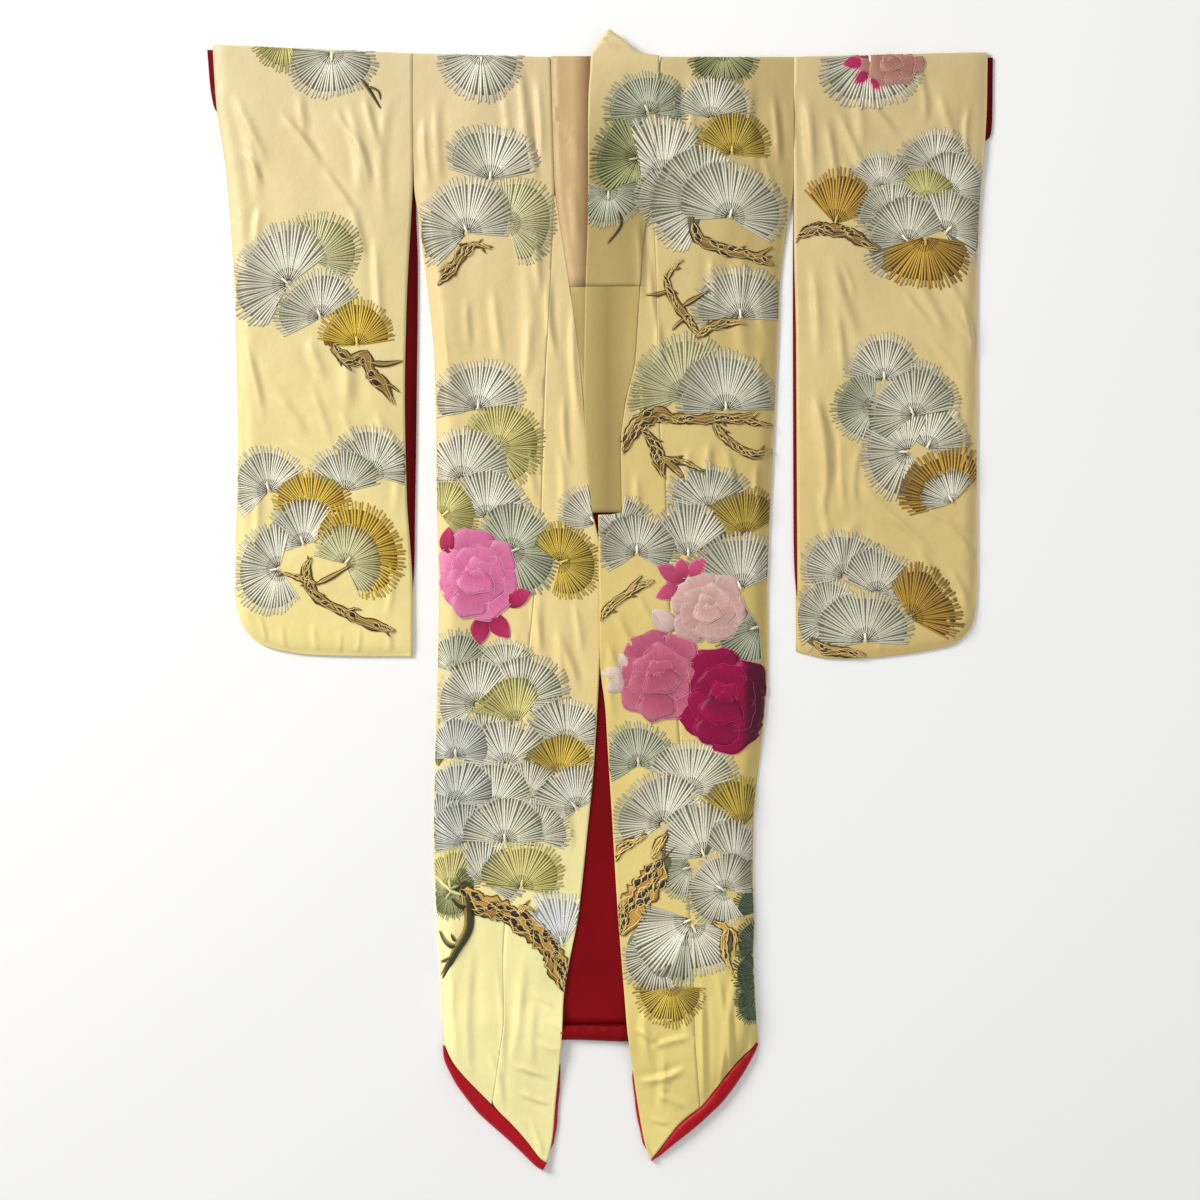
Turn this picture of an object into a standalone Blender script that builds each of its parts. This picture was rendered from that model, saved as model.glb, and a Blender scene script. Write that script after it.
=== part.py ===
# Uchikake wedding kimono, laid flat on its back. Left and right are the wearer's: left is +X.
# Tables are in millimetres: "across" is X from the centre, "down" is the distance below the shoulder line.
import math

import bmesh
import bpy
import numpy as np
from mathutils import Vector

MM = 0.001
MIDDLE_DOWN = 907          # the point of the length that lies on Y = 0

CLOTH = 1.6                # wall of the main cloth
LINING = 1.2               # wall of a lining
BAND = 2.0                 # wall of the folded collar band
OVER_COLLAR = 1.2          # wall of the cloth sewn round the band
SEAM = 0.15                # each side's share of the gap along a seam
GAP = 2 * SEAM
HEM_GAP = 0.6              # between the slanting hem and its roll

KENSAKI = 230              # top point of the overlap panels
COLLAR_END = 764
OVER_COLLAR_END = 389
SLEEVE_SEAM_END = 226      # below it the sleeves hang free of the body
CUFF_END = 237             # the cuff is open down to here
PART_FROM = 1022           # below it the two fronts part
HEM_START = 1560           # below it the rows fan out to the slanting hem
BACK_HEM = 1636
ROLL_WIDTH = 27
ROLL_HEIGHT = 14
LINING_TOP = 700           # where the back skirt lining starts
LINING_INSIDE = 16         # between its edges and the side edges
BELOW_ALL = 1900           # below every outline, so a table read here gives its last row

# Rows and columns of the walls
ROW_PITCH = 58
BACK_PITCH = 130
LINING_PITCH = 110
FRONT_TOP_ROWS = [22, 60, 100, 166]
ROLL_COLUMNS = [0, 2, 6, 12, 22, 36, 60]     # distances in from a rolled edge
BODY_COLUMNS = 4                             # even columns after those
SLEEVE_COLUMNS = 5
OVERLAP_PARTS = (0.0, 0.22, 0.45, 0.7, 0.88, 1.0)
LINING_PARTS = (0, 0.25, 0.5, 0.75, 1)
HEM_SHARES = (0.22, 0.46, 0.66, 0.82, 0.92, 1.0)
SLEEVE_BOTTOM_SHARES = (0.3, 0.55, 0.75, 0.88, 0.95, 1.0)
# Back neckline: down, share of the way from the centre back to the neck point
NECK_ROWS = ((32, 0.2), (25, 0.55), (19, 0.98))

# Heights of the middle of each wall above the floor.
BACK_LEVEL = CLOTH / 2
LINING_LEVEL = CLOTH + GAP + LINING / 2
SEAM_LEVEL = 3.0           # a closed edge, lapped on the back cloth
SHOULDER_LEVEL = 9.0
UNDER_BAND_LEVEL = 6.6
OVER_BAND_LEVEL = 13.0
OVER_BAND_CROWN = 1.5      # extra height along the middle of the upper band
HEM_LEVEL = 8.4            # cloth where it meets its roll
CUFF_LEVEL = 6.2
SLIT_LEVEL = 5.2
SLEEVE_LEVEL = 10.5
SLEEVE_BUMP = 2.5          # extra height just inside a sleeve's closed edge

# Distances over which a surface changes height
SIDE_RISE = 22
EDGE_FADE = 55
ROLL_CREST = 24
ROLL_HALF_WIDTH = 17
ROLL_START = 10
FOLD_FADE = 60
HEM_FADE = 34
SLEEVE_RISE = 20
SLEEVE_CREST = 20
SLEEVE_CREST_HALF = 14
SLIT_RISE = 34
SLIT_FADE = 60
CUFF_FADE = 50
TOP_FADE = 40
READ_BELOW_TOP = 12        # where the height is read that a shoulder fold has to meet

# Shoulder line: across, down
SHOULDER = ((-650, -13), (-309, 2), (-82, 8), (100, 8), (320, 8), (650, 0))
# Top edge of the collar, with its peak at the back of the neck: across, down
COLLAR_TOP = ((-80, 8), (-15, 7), (16, -37), (64, 4), (98, 8))

# Outlines of the right half: down, across
SIDE_RIGHT = ((0, -309), (222, -309), (275, -299), (338, -292), (457, -277), (523, -272), (760, -270),
              (876, -266), (1009, -268), (1141, -272), (1305, -276), (1373, -274), (1505, -265), (1639, -258))
PANEL_SEAM_RIGHT = ((0, -82), (170, -77), (230, -75), (412, -83), (523, -90), (643, -94), (765, -97),
                    (876, -106), (990, -118), (1141, -132), (1305, -144), (1417, -156), (1506, -161),
                    (1595, -158), (1740, -179))
FRONT_EDGE_RIGHT = ((230, -75), (389, -50), (527, -31), (640, -22), (764, -12), (800, 4), (980, 5),
                    (1022, -1), (1098, -5), (1186, -10), (1293, -21), (1381, -30), (1444, -38),
                    (1547, -60), (1639, -63), (1759, -76), (1803, -78), (1836, -88))
# Outlines of the left half: down, across
SIDE_LEFT = ((0, 320), (230, 320), (293, 308), (368, 297), (457, 295), (643, 287), (787, 280), (876, 276),
             (1045, 277), (1124, 270), (1173, 261), (1249, 254), (1351, 250), (1418, 257), (1506, 253),
             (1636, 261))
PANEL_SEAM_LEFT = ((0, 100), (230, 86), (368, 93), (643, 99), (699, 108), (874, 113), (964, 119),
                   (1088, 128), (1209, 137), (1302, 144), (1394, 147), (1532, 154), (1639, 157), (1745, 166))
FRONT_EDGE_LEFT = ((230, 86), (301, 73), (391, 66), (523, 58), (609, 33), (764, 36), (766, -3), (907, -1),
                   (1022, 0), (1066, 8), (1159, 13), (1249, 19), (1373, 26), (1475, 33), (1542, 39),
                   (1634, 46), (1701, 57), (1754, 64), (1812, 75), (1831, 84))
# Lower edge of the front cloth and outer edge of the red roll below it: across, down
HEM_RIGHT = ((-258, 1639), (-242, 1674), (-216, 1703), (-179, 1740), (-141, 1777), (-118, 1803),
             (-101, 1830), (-88, 1836))
ROLL_RIGHT = ((-260, 1644), (-260, 1666), (-236, 1714), (-199, 1759), (-154, 1798), (-118, 1832),
              (-104, 1847), (-95, 1850))
HEM_LEFT = ((84, 1831), (90, 1826), (113, 1794), (134, 1767), (166, 1745), (188, 1719), (208, 1690),
            (223, 1673), (261, 1636))
ROLL_LEFT = ((84, 1835), (97, 1829), (121, 1808), (157, 1781), (201, 1740), (232, 1701), (258, 1653),
             (262, 1641))
# Free edges of the collar band: down, across
BAND_RIGHT_FREE = ((0, 40), (60, 32), (230, 35), (390, 38), (762, 38))
BAND_LEFT_FREE = ((-3, -13), (79, -20), (278, -20), (411, -25), (609, -27), (762, -13))
# Right sleeve: down, across
SLEEVE_RIGHT_OUTER = ((-13, -641), (98, -634), (147, -625), (222, -616), (346, -607), (436, -603),
                      (643, -598), (831, -603), (898, -604))
SLEEVE_RIGHT_INNER = ((0, -309), (222, -309), (389, -319), (545, -323), (643, -322), (752, -319),
                      (858, -310), (1000, -310))
SLIT_RIGHT = ((222, 0), (257, 10), (389, 18), (545, 20), (643, 18), (752, 13), (858, 3), (900, 0))
CUFF_RIGHT = ((0, -650), (60, -645), (98, -638), (110, -620))
BOTTOM_RIGHT = ((-604, 898), (-596, 942), (-574, 974), (-538, 990), (-485, 998), (-396, 1000), (-310, 1000))
# Left sleeve: down, across
SLEEVE_LEFT_OUTER = ((0, 641), (137, 639), (214, 630), (257, 628), (368, 623.5), (876, 623.5))
SLEEVE_LEFT_INNER = ((0, 320), (230, 320), (346, 321), (449, 324), (1000, 327))
SLIT_LEFT = ((230, 0), (346, 2), (449, 5), (858, 6), (900, 0))
CUFF_LEFT = ((10, 650), (137, 649), (146, 642), (156, 615))
BOTTOM_LEFT = ((327, 992), (344, 1003), (411, 1005), (455, 1002), (543, 991), (588, 980), (610, 960),
               (621, 934), (623.5, 880))

# Levels along the front edge, with the rise over the back hem roll: down, height
EDGE_LEVEL_RIGHT = ((0, 7), (1022, 6), (1200, 5.5), (1560, 5.5), (1596, 16.4), (1648, 16.4), (1700, 6),
                    (1840, 5))
EDGE_LEVEL_LEFT = ((0, 13), (764, 13), (800, 11), (1022, 11), (1150, 6), (1560, 5.5),
                   (1596, 16.4), (1648, 16.4), (1700, 6), (1840, 5))
MIDDLE_LEVEL = ((0, 9), (200, 12), (1560, 13), (1596, 17.5), (1648, 17.5), (1740, 13), (1840, 9))
SIDE_LEVEL = ((0, SHOULDER_LEVEL), (215, SHOULDER_LEVEL), (262, SEAM_LEVEL), (1850, SEAM_LEVEL))
# Soft roll of the side edges: down, extra height
SIDE_ROLL = ((0, 0), (225, 0), (300, 4), (700, 8), (1560, 9), (1700, 4), (1850, 0))

# Largest soft folds: first end (across, down), other end, half width, height
FOLDS_RIGHT = (((-205, 30), (-175, 420), 22, 3.0), ((-240, 420), (-190, 880), 26, 3.0),
               ((-150, 30), (-120, 300), 18, 2.4), ((-215, 1040), (-185, 1600), 26, 4.0),
               ((-110, 1150), (-100, 1560), 24, 3.0))
FOLDS_LEFT = (((180, 40), (215, 330), 22, 2.6), ((225, 480), (205, 900), 26, 3.0),
              ((195, 1000), (205, 1480), 26, 4.0), ((90, 1120), (95, 1500), 24, 3.2),
              ((235, 1440), (120, 1500), 16, 3.6), ((230, 1560), (110, 1590), 16, 3.0))
FOLDS_SLEEVE_RIGHT = (((-590, 60), (-470, 330), 24, 4.0), ((-380, 40), (-420, 300), 24, 3.4),
                      ((-560, 480), (-380, 640), 24, 4.0), ((-540, 700), (-360, 800), 26, 3.4),
                      ((-570, 900), (-400, 850), 24, 3.0))
FOLDS_SLEEVE_LEFT = (((590, 60), (480, 300), 24, 4.0), ((380, 60), (430, 380), 22, 3.4),
                     ((580, 430), (420, 560), 24, 4.0), ((390, 620), (560, 760), 26, 3.6),
                     ((360, 900), (540, 880), 24, 3.0))

COLOURS = {
    "cloth": (0.80, 0.66, 0.34),
    "collar": (0.60, 0.52, 0.27),
    "lining": (0.42, 0.012, 0.024),
}


def along(table, value):
    """Read a two-column table at a value of its first column."""
    rows = sorted(table)
    return float(np.interp(value, [row[0] for row in rows], [row[1] for row in rows]))


def smooth(value):
    value = min(max(value, 0.0), 1.0)
    return value * value * (3 - 2 * value)


def place(across, down, height):
    return Vector((across, MIDDLE_DOWN - down, height)) * MM


def fold_height(folds, across, down):
    """Height that a list of soft ridges adds at a point."""
    height = 0.0
    for (x0, d0), (x1, d1), half_width, top in folds:
        run, drop = x1 - x0, d1 - d0
        part = ((across - x0) * run + (down - d0) * drop) / (run * run + drop * drop)
        near = min(max(part, 0.0), 1.0)
        distance = math.hypot(across - x0 - near * run, down - d0 - near * drop)
        height += top * math.exp(-(distance / half_width) ** 2)
    return height


class Front:
    """The upper surface of one front half: body panel and overlap panel."""

    def __init__(self, side, seam, edge, hem, edge_level, folds):
        self.side, self.seam, self.edge, self.hem = side, seam, edge, hem
        self.edge_level, self.folds = edge_level, folds

    def inner(self, down):
        return along(self.edge if down > KENSAKI else self.seam, down)

    def height(self, across, down):
        from_side = max(abs(along(self.side, down)) - abs(across), 0.0)
        from_edge = abs(across - self.inner(down))
        from_hem = max(along(self.hem, across) - down, 0.0)
        risen = smooth(from_side / SIDE_RISE)
        edge_share = math.exp(-(from_edge / EDGE_FADE) ** 2)
        level = along(MIDDLE_LEVEL, down) * (1 - edge_share) + along(self.edge_level, down) * edge_share
        bump = math.exp(-((from_side - ROLL_CREST) / ROLL_HALF_WIDTH) ** 2) * smooth(from_side / ROLL_START)
        folds = fold_height(self.folds, across, down) * risen * (1 - edge_share)
        folds *= smooth(from_hem / FOLD_FADE)
        height = along(SIDE_LEVEL, down) * (1 - risen) + level * risen
        height += along(SIDE_ROLL, down) * bump + folds
        at_hem = (1 - smooth(from_hem / HEM_FADE)) * risen
        return height * (1 - at_hem) + HEM_LEVEL * at_hem


class SleeveFront:
    """The upper surface of one sleeve."""

    def __init__(self, outer, inner, bottom, folds):
        self.outer, self.inner, self.bottom, self.folds = outer, inner, bottom, folds

    def height(self, across, down):
        from_outer = max(abs(along(self.outer, down)) - abs(across), 0.0)
        from_bottom = max(along(self.bottom, across) - down, 0.0)
        from_inner = max(abs(across) - abs(along(self.inner, down)), 0.0)
        slit = smooth((down - SLEEVE_SEAM_END) / SLIT_FADE)
        cuff = 1 - smooth((down - CUFF_END + TOP_FADE) / CUFF_FADE)
        outer_level = SEAM_LEVEL + (CUFF_LEVEL - SEAM_LEVEL) * cuff
        inner_level = SHOULDER_LEVEL + (SLIT_LEVEL - SHOULDER_LEVEL) * slit
        rise_outer = smooth(from_outer / SLEEVE_RISE)
        rise_bottom = smooth(from_bottom / SLEEVE_RISE)
        rise_inner = smooth(from_inner / SLIT_RISE)
        level = inner_level + (SLEEVE_LEVEL - inner_level) * rise_inner
        height = outer_level + (level - outer_level) * rise_outer
        height = SEAM_LEVEL + (height - SEAM_LEVEL) * rise_bottom
        bump = math.exp(-((from_outer - SLEEVE_CREST) / SLEEVE_CREST_HALF) ** 2) * (1 - cuff) * rise_outer
        height += SLEEVE_BUMP * bump * rise_bottom
        folds = fold_height(self.folds, across, down) * rise_outer * rise_bottom * rise_inner
        return height + folds * smooth((down - READ_BELOW_TOP) / TOP_FADE)


def on_front(surface, across, down):
    """Point of the wall's middle and its upward normal, in the height's own slope."""
    step = 1.0
    height = surface.height(across, down)
    slope_x = (surface.height(across + step, down) - surface.height(across - step, down)) / (2 * step)
    slope_y = (surface.height(across, down - step) - surface.height(across, down + step)) / (2 * step)
    return place(across, down, height), Vector((-slope_x, -slope_y, 1)).normalized()


def shoulder_fold(across, top_level, wall, steps=5):
    """Points and normals round the fold that joins the back layer to the front one."""
    radius = (top_level - BACK_LEVEL) / 2
    centre_down = along(SHOULDER, across) + radius + wall / 2
    points = []
    for step in range(steps):
        angle = math.pi * (step / steps - 0.5)
        normal = Vector((0, math.cos(angle), math.sin(angle)))
        centre = place(across, centre_down, BACK_LEVEL + radius)
        points.append((centre + normal * radius * MM, normal))
    return points


def spaced(stops, pitch):
    """Even steps of about one pitch between stops that are all kept."""
    values = [stops[0]]
    for start, end in zip(stops, stops[1:]):
        count = max(round((end - start) / pitch), 1)
        values += [start + (end - start) * (step + 1) / count for step in range(count)]
    return values


def seam_rows():
    """Rows that the collar and the overlap panel share along their seam."""
    return spaced([KENSAKI, OVER_COLLAR_END, COLLAR_END], ROW_PITCH)


def finish_mesh(name, bm, material):
    bmesh.ops.recalc_face_normals(bm, faces=bm.faces)
    mesh = bpy.data.meshes.new(name)
    bm.to_mesh(mesh)
    bm.free()
    mesh.materials.append(material)
    piece = bpy.data.objects.new(name, mesh)
    bpy.context.scene.collection.objects.link(piece)
    return piece


def add_quad(bm, a, b, c, d):
    """Two triangles that share the diagonal a to c, so that nested walls bend alike."""
    bm.faces.new([a, b, c])
    bm.faces.new([a, c, d])


def wall(name, rows, thickness, material):
    """Closed cloth wall round rows of (point, normal)."""
    bm = bmesh.new()
    half = thickness / 2 * MM
    upper = [[bm.verts.new(point + normal * half) for point, normal in row] for row in rows]
    lower = [[bm.verts.new(point - normal * half) for point, normal in row] for row in rows]
    last = len(rows[0]) - 1
    for row in range(len(rows) - 1):
        for col in range(last):
            for layer in (upper, lower):
                after = layer[row + 1]
                add_quad(bm, layer[row][col], layer[row][col + 1], after[col + 1], after[col])
        for col in (0, last):
            bm.faces.new([upper[row][col], lower[row][col], lower[row + 1][col], upper[row + 1][col]])
    for row in (0, len(rows) - 1):
        for col in range(last):
            bm.faces.new([upper[row][col], lower[row][col], lower[row][col + 1], upper[row][col + 1]])
    return finish_mesh(name, bm, material)


def loft(name, loops, material):
    """Closed solid through loops of points, with a flat cap at each end."""
    bm = bmesh.new()
    rings = [[bm.verts.new(point) for point in loop] for loop in loops]
    count = len(rings[0])
    for ring, after in zip(rings, rings[1:]):
        for step in range(count):
            other = (step + 1) % count
            bm.faces.new([ring[step], ring[other], after[other], after[step]])
    bm.faces.new(rings[0])
    bm.faces.new(rings[-1])
    return finish_mesh(name, bm, material)


def columns_between(side, inner, even):
    """Places across a panel: close together on the rolled edge, then even."""
    toward = 1 if inner > side else -1
    rest = abs(side - inner) - ROLL_COLUMNS[-1]
    evenly = [ROLL_COLUMNS[-1] + rest * (step + 1) / even for step in range(even)]
    return [side + toward * distance for distance in ROLL_COLUMNS + evenly]


def back_row(columns, down):
    """Level row of the layer that lies on the floor."""
    return [(place(x, down, BACK_LEVEL), Vector((0, 0, -1))) for x in columns]


def backward(start, end, pitch):
    """Even steps up the garment, from a larger distance down to a smaller one."""
    return [-down for down in spaced([-start, -end], pitch)]


def toward_edge(edge, across, share, start):
    """Distance down at a share of the way from a level row to a slanting or curved edge."""
    return start + (along(edge, across) - start) * share


def body_panel(name, front, sign, material):
    """One width of cloth from the back hem over the shoulder to the front hem."""
    rows = []
    back_downs = backward(BACK_HEM - ROLL_WIDTH - GAP, PART_FROM, BACK_PITCH)
    back_downs += backward(PART_FROM, SLEEVE_SEAM_END, BACK_PITCH)[1:]
    back_downs += backward(SLEEVE_SEAM_END, 40, BACK_PITCH)[1:]
    for down in back_downs:
        rows.append(back_row(columns_between(along(front.side, down), sign * SEAM, BODY_COLUMNS), down))
    neck = along(front.seam, 0)
    for down, share in NECK_ROWS:
        rows.append(back_row(columns_between(along(front.side, down), neck * share, BODY_COLUMNS), down))
    shoulder = columns_between(along(front.side, 0), neck + sign * SEAM, BODY_COLUMNS)
    read_at = along(SHOULDER, along(front.side, 0)) + READ_BELOW_TOP
    folds = [shoulder_fold(x, front.height(x, read_at), CLOTH) for x in shoulder]
    rows += [list(points) for points in zip(*folds)]
    downs = FRONT_TOP_ROWS + seam_rows() + spaced([COLLAR_END + 2, PART_FROM, HEM_START], ROW_PITCH)
    for down in downs:
        inner = along(front.seam, down) + sign * SEAM
        columns = columns_between(along(front.side, down), inner, BODY_COLUMNS)
        rows.append([on_front(front, x, down) for x in columns])
    rows += hem_rows(front, front.side, front.seam, sign, rolled=True)
    return wall(name, rows, CLOTH, material)


def hem_rows(front, outer, inner, sign, rolled):
    """Rows that fan out from a level row to the slanting hem."""
    rows = []
    ends = []
    for table, gap in ((outer, 0 if rolled else -sign * SEAM), (inner, sign * SEAM if rolled else 0)):
        ends.append((table, gap, along(front.hem, along(table, BELOW_ALL))))
    for share in HEM_SHARES:
        x0, x1 = [along(table, HEM_START + (low - HEM_START) * share) + gap for table, gap, low in ends]
        columns = columns_between(x0, x1, BODY_COLUMNS)
        if not rolled:
            columns = [x0 + (x1 - x0) * part for part in OVERLAP_PARTS]
        rows.append([on_front(front, x, toward_edge(front.hem, x, share, HEM_START)) for x in columns])
    return rows


def overlap_panel(name, front, sign, material):
    """The long wedge between the body panel and the collar, down to the front tip."""
    rows = []
    downs = [KENSAKI + 8] + seam_rows()[1:] + spaced([COLLAR_END + 2, PART_FROM, HEM_START], ROW_PITCH)
    for down in downs:
        x0 = along(front.seam, down) - sign * SEAM
        x1 = along(front.edge, down)
        if down <= COLLAR_END:
            x1 += sign * SEAM
        rows.append([on_front(front, x0 + (x1 - x0) * part, down) for part in OVERLAP_PARTS])
    rows += hem_rows(front, front.seam, front.edge, sign, rolled=False)
    return wall(name, rows, CLOTH, material)


def read_along(route, share):
    """Point at a share of the length of a route of (across, down) points."""
    run = [0.0]
    for before, after in zip(route, route[1:]):
        run.append(run[-1] + math.dist(before, after))
    return [float(np.interp(share * run[-1], run, [point[axis] for point in route])) for axis in (0, 1)]


def hem_roll(name, front, outer, material):
    """Padded roll below the slanting front hem, resting on the floor."""
    side_end = along(front.hem, along(front.side, BELOW_ALL))
    seam_x = along(front.seam, BELOW_ALL)
    edge_x = along(front.edge, BELOW_ALL)
    inner = columns_between(along(front.side, side_end), seam_x, BODY_COLUMNS)[1:]
    inner += [seam_x + (edge_x - seam_x) * part for part in OVERLAP_PARTS[1:]]
    points = [(x, along(front.hem, x) + HEM_GAP) for x in inner]
    lengths = [0.0]
    for before, after in zip(points, points[1:]):
        lengths.append(lengths[-1] + math.dist(before, after))
    route = sorted(outer, key=lambda point: -abs(point[0]))
    loops = []
    for point, length in zip(points, lengths):
        rim = read_along(route, length / lengths[-1])
        height = min(ROLL_HEIGHT, ROLL_TIP_HEIGHT + math.dist(point, rim) * ROLL_PLUMPNESS)
        loops.append(roll_section(point, rim, height))
    return loft(name, loops, material)


ROLL_TIP_HEIGHT = 5
ROLL_PLUMPNESS = 0.45      # height gained per width
# Section of a padded roll: share of the width from the cloth outward, share of the height
ROLL_SECTION = ((0, 0), (0, 0.62), (0.14, 0.86), (0.34, 1.0), (0.6, 0.98), (0.82, 0.8), (0.96, 0.5),
                (1.0, 0.22), (0.95, 0))


def roll_section(inner, outer, height):
    return [place(inner[0] + (outer[0] - inner[0]) * across, inner[1] + (outer[1] - inner[1]) * across,
                  height * up) for across, up in ROLL_SECTION]


BACK_ROLL = {"right_end": -245, "left_end": 246, "stations": 24, "end_height": 0.62, "end_taper": 30,
             "wave": 1.6, "wave_length": 31}


def back_roll(name, material):
    """Padded roll along the back hem, ending under the rolled side edges."""
    start = BACK_HEM - ROLL_WIDTH
    roll = BACK_ROLL
    loops = []
    for x in np.linspace(roll["right_end"], roll["left_end"], roll["stations"]):
        swell = smooth((roll["left_end"] - 1 - abs(x)) / roll["end_taper"])
        height = ROLL_HEIGHT * (roll["end_height"] + (1 - roll["end_height"]) * swell)
        hem = BACK_HEM + roll["wave"] * math.sin(x / roll["wave_length"])
        loops.append(roll_section((x, start), (x, hem), height))
    return loft(name, loops, material)


SLEEVE_CURVE_START = 872   # below it the rows bend to the round corner


def sleeve(name, front, slit, sign, material):
    """One width of cloth from the back bottom edge over the top fold to the front bottom edge."""
    def columns(down, back):
        inner = along(front.inner, down) + sign * SEAM
        if back:
            inner -= sign * max(along(slit, down) - 1.0, 0.0)
        return columns_between(along(front.outer, down), inner, SLEEVE_COLUMNS)

    start = SLEEVE_CURVE_START
    corner = along(front.bottom, along(front.outer, BELOW_ALL))
    rows = []
    for share in reversed(SLEEVE_BOTTOM_SHARES):
        places = columns(start + (corner - start) * share, True)
        rows.append([back_row([x], toward_edge(front.bottom, x, share, start))[0] for x in places])
    downs = backward(start, SLEEVE_SEAM_END, BACK_PITCH) + backward(SLEEVE_SEAM_END, 26, BACK_PITCH)[1:]
    for down in downs:
        rows.append(back_row(columns(down, True), down))
    folds = []
    for x in columns(0, False):
        folds.append(shoulder_fold(x, front.height(x, along(SHOULDER, x) + READ_BELOW_TOP), CLOTH))
    rows += [list(points) for points in zip(*folds)]
    for down in spaced([22, 100, SLEEVE_SEAM_END, start], ROW_PITCH):
        rows.append([on_front(front, x, down) for x in columns(down, False)])
    for share in SLEEVE_BOTTOM_SHARES:
        places = columns(start + (corner - start) * share, False)
        rows.append([on_front(front, x, toward_edge(front.bottom, x, share, start)) for x in places])
    return wall(name, rows, CLOTH, material)


def flat_lining(name, rows, material):
    """Lining that lies level on the back cloth; rows of (down, one edge, other edge)."""
    up = Vector((0, 0, 1))
    grid = []
    for down, x0, x1 in rows:
        grid.append([(place(x0 + (x1 - x0) * part, down, LINING_LEVEL), up) for part in LINING_PARTS])
    return wall(name, grid, LINING, material)


SLEEVE_LINING = {"below_fold": 9, "inside_edge": 14, "inside_seam": 4, "inside_corner": 26,
                 "slit_end": 858, "end": 940, "parts": (0, 0.33, 0.66, 1)}


def sleeve_lining(name, front, slit, cuff, sign, material):
    """Lining between a sleeve's layers, reaching out at the cuff and at the slit."""
    sizes = SLEEVE_LINING
    outer_top = along(SHOULDER, cuff[0][1]) + sizes["below_fold"]
    inner_top = along(SHOULDER, front.inner[0][1]) + sizes["below_fold"]
    downs = [outer_top] + [down for down, across in cuff[1:]]
    downs += spaced([CUFF_END, sizes["slit_end"], sizes["end"]], LINING_PITCH)
    up = Vector((0, 0, 1))
    grid = []
    for index, down in enumerate(downs):
        outer = along(front.outer, down) - sign * sizes["inside_edge"]
        if down <= cuff[-1][0]:
            outer = along(cuff, down)
        inner = along(front.inner, down) - sign * along(slit, down)
        if down < SLEEVE_SEAM_END or down > sizes["slit_end"]:
            inner += sign * sizes["inside_seam"]
        if down > sizes["slit_end"]:
            outer -= sign * sizes["inside_corner"]
        row = []
        for part in sizes["parts"]:
            sloped = max(down, inner_top + 6 * index * part)
            if index == 0:
                sloped = outer_top + (inner_top - outer_top) * part
            row.append((place(outer + (inner - outer) * part, sloped, LINING_LEVEL), up))
        grid.append(row)
    return wall(name, grid, LINING, material)


# Share of the band's width at each column; the third stands at the collar's peak
BAND_PARTS = (0.0, 0.14, 0.273, 0.47, 0.69, 0.85, 1.0)
TOP_SHARES = (1.0, 0.66, 0.33, 0.0)          # rows between the collar's top edge and BAND_START
BAND_START = 30
BAND_ROWS = [66, 110, 170]


def band_downs():
    """The overlap panel's rows, with a row each side of the over-collar's end."""
    downs = list(BAND_ROWS)
    for down in seam_rows():
        downs += [down - 1, down + 3] if down == OVER_COLLAR_END else [min(down, COLLAR_END - 2)]
    return downs


def band_half(seam, seam_above, free, top, level, sign, crown):
    """Rows of (down, points with normals) from the centre back of the neck to the band's end."""
    rows = []
    for down, rise in [(BAND_START, share) for share in TOP_SHARES] + [(down, 0) for down in band_downs()]:
        x0 = along(free, down)
        x1 = along(seam if down > KENSAKI else seam_above, down) - sign * SEAM
        row = []
        for part in BAND_PARTS:
            x = x0 + (x1 - x0) * part
            raised = down + (along(top, x) - down) * rise
            height = level + crown * math.sin(math.pi * part)
            row.append((place(x, raised, height), Vector((0, 0, 1))))
        rows.append((down, row))
    return rows


def narrowed(row, inset):
    """The row with its two ends brought in along the row."""
    points = [entry[0] for entry in row]
    first = (points[1] - points[0]).normalized() * inset * MM
    last = (points[-2] - points[-1]).normalized() * inset * MM
    points[0] = points[0] + first
    points[-1] = points[-1] + last
    return [(point, entry[1]) for point, entry in zip(points, row)]


def collar_band(name, rows, material):
    """The band, narrower where the over-collar is sewn round it."""
    inset = OVER_COLLAR + GAP
    grid = [narrowed(row, inset if down < OVER_COLLAR_END else 0) for down, row in rows]
    return wall(name, grid, BAND, material)


def over_collar(name, rows, material):
    """Cloth tube round the upper part of the band, open at both ends."""
    inner_offset = (BAND / 2 + GAP) * MM
    outer_offset = inner_offset + OVER_COLLAR * MM
    bm = bmesh.new()
    shells = []
    for inset, offset in ((0, outer_offset), (OVER_COLLAR, inner_offset)):
        rings = []
        for down, row in rows:
            if down < OVER_COLLAR_END:
                points = narrowed(row, inset)
                ring = [point + normal * offset for point, normal in points]
                ring += [point - normal * offset for point, normal in reversed(points)]
                rings.append([bm.verts.new(point) for point in ring])
        shells.append(rings)
    count = len(shells[0][0])
    for rings in shells:
        for ring, after in zip(rings, rings[1:]):
            for step in range(count):
                other = (step + 1) % count
                if step < count // 2:
                    add_quad(bm, ring[step], ring[other], after[other], after[step])
                else:
                    add_quad(bm, ring[other], ring[step], after[step], after[other])
    for end in (0, -1):
        outer, inner = shells[0][end], shells[1][end]
        for step in range(count):
            other = (step + 1) % count
            bm.faces.new([outer[step], outer[other], inner[other], inner[step]])
    return finish_mesh(name, bm, material)


def material_for(name, kind):
    material = bpy.data.materials.new(name)
    material.use_nodes = True
    shader = material.node_tree.nodes["Principled BSDF"]
    shader.inputs["Base Color"].default_value = (*COLOURS[kind], 1)
    shader.inputs["Roughness"].default_value = 0.5
    shader.inputs["Metallic"].default_value = 0.0
    return material


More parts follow.
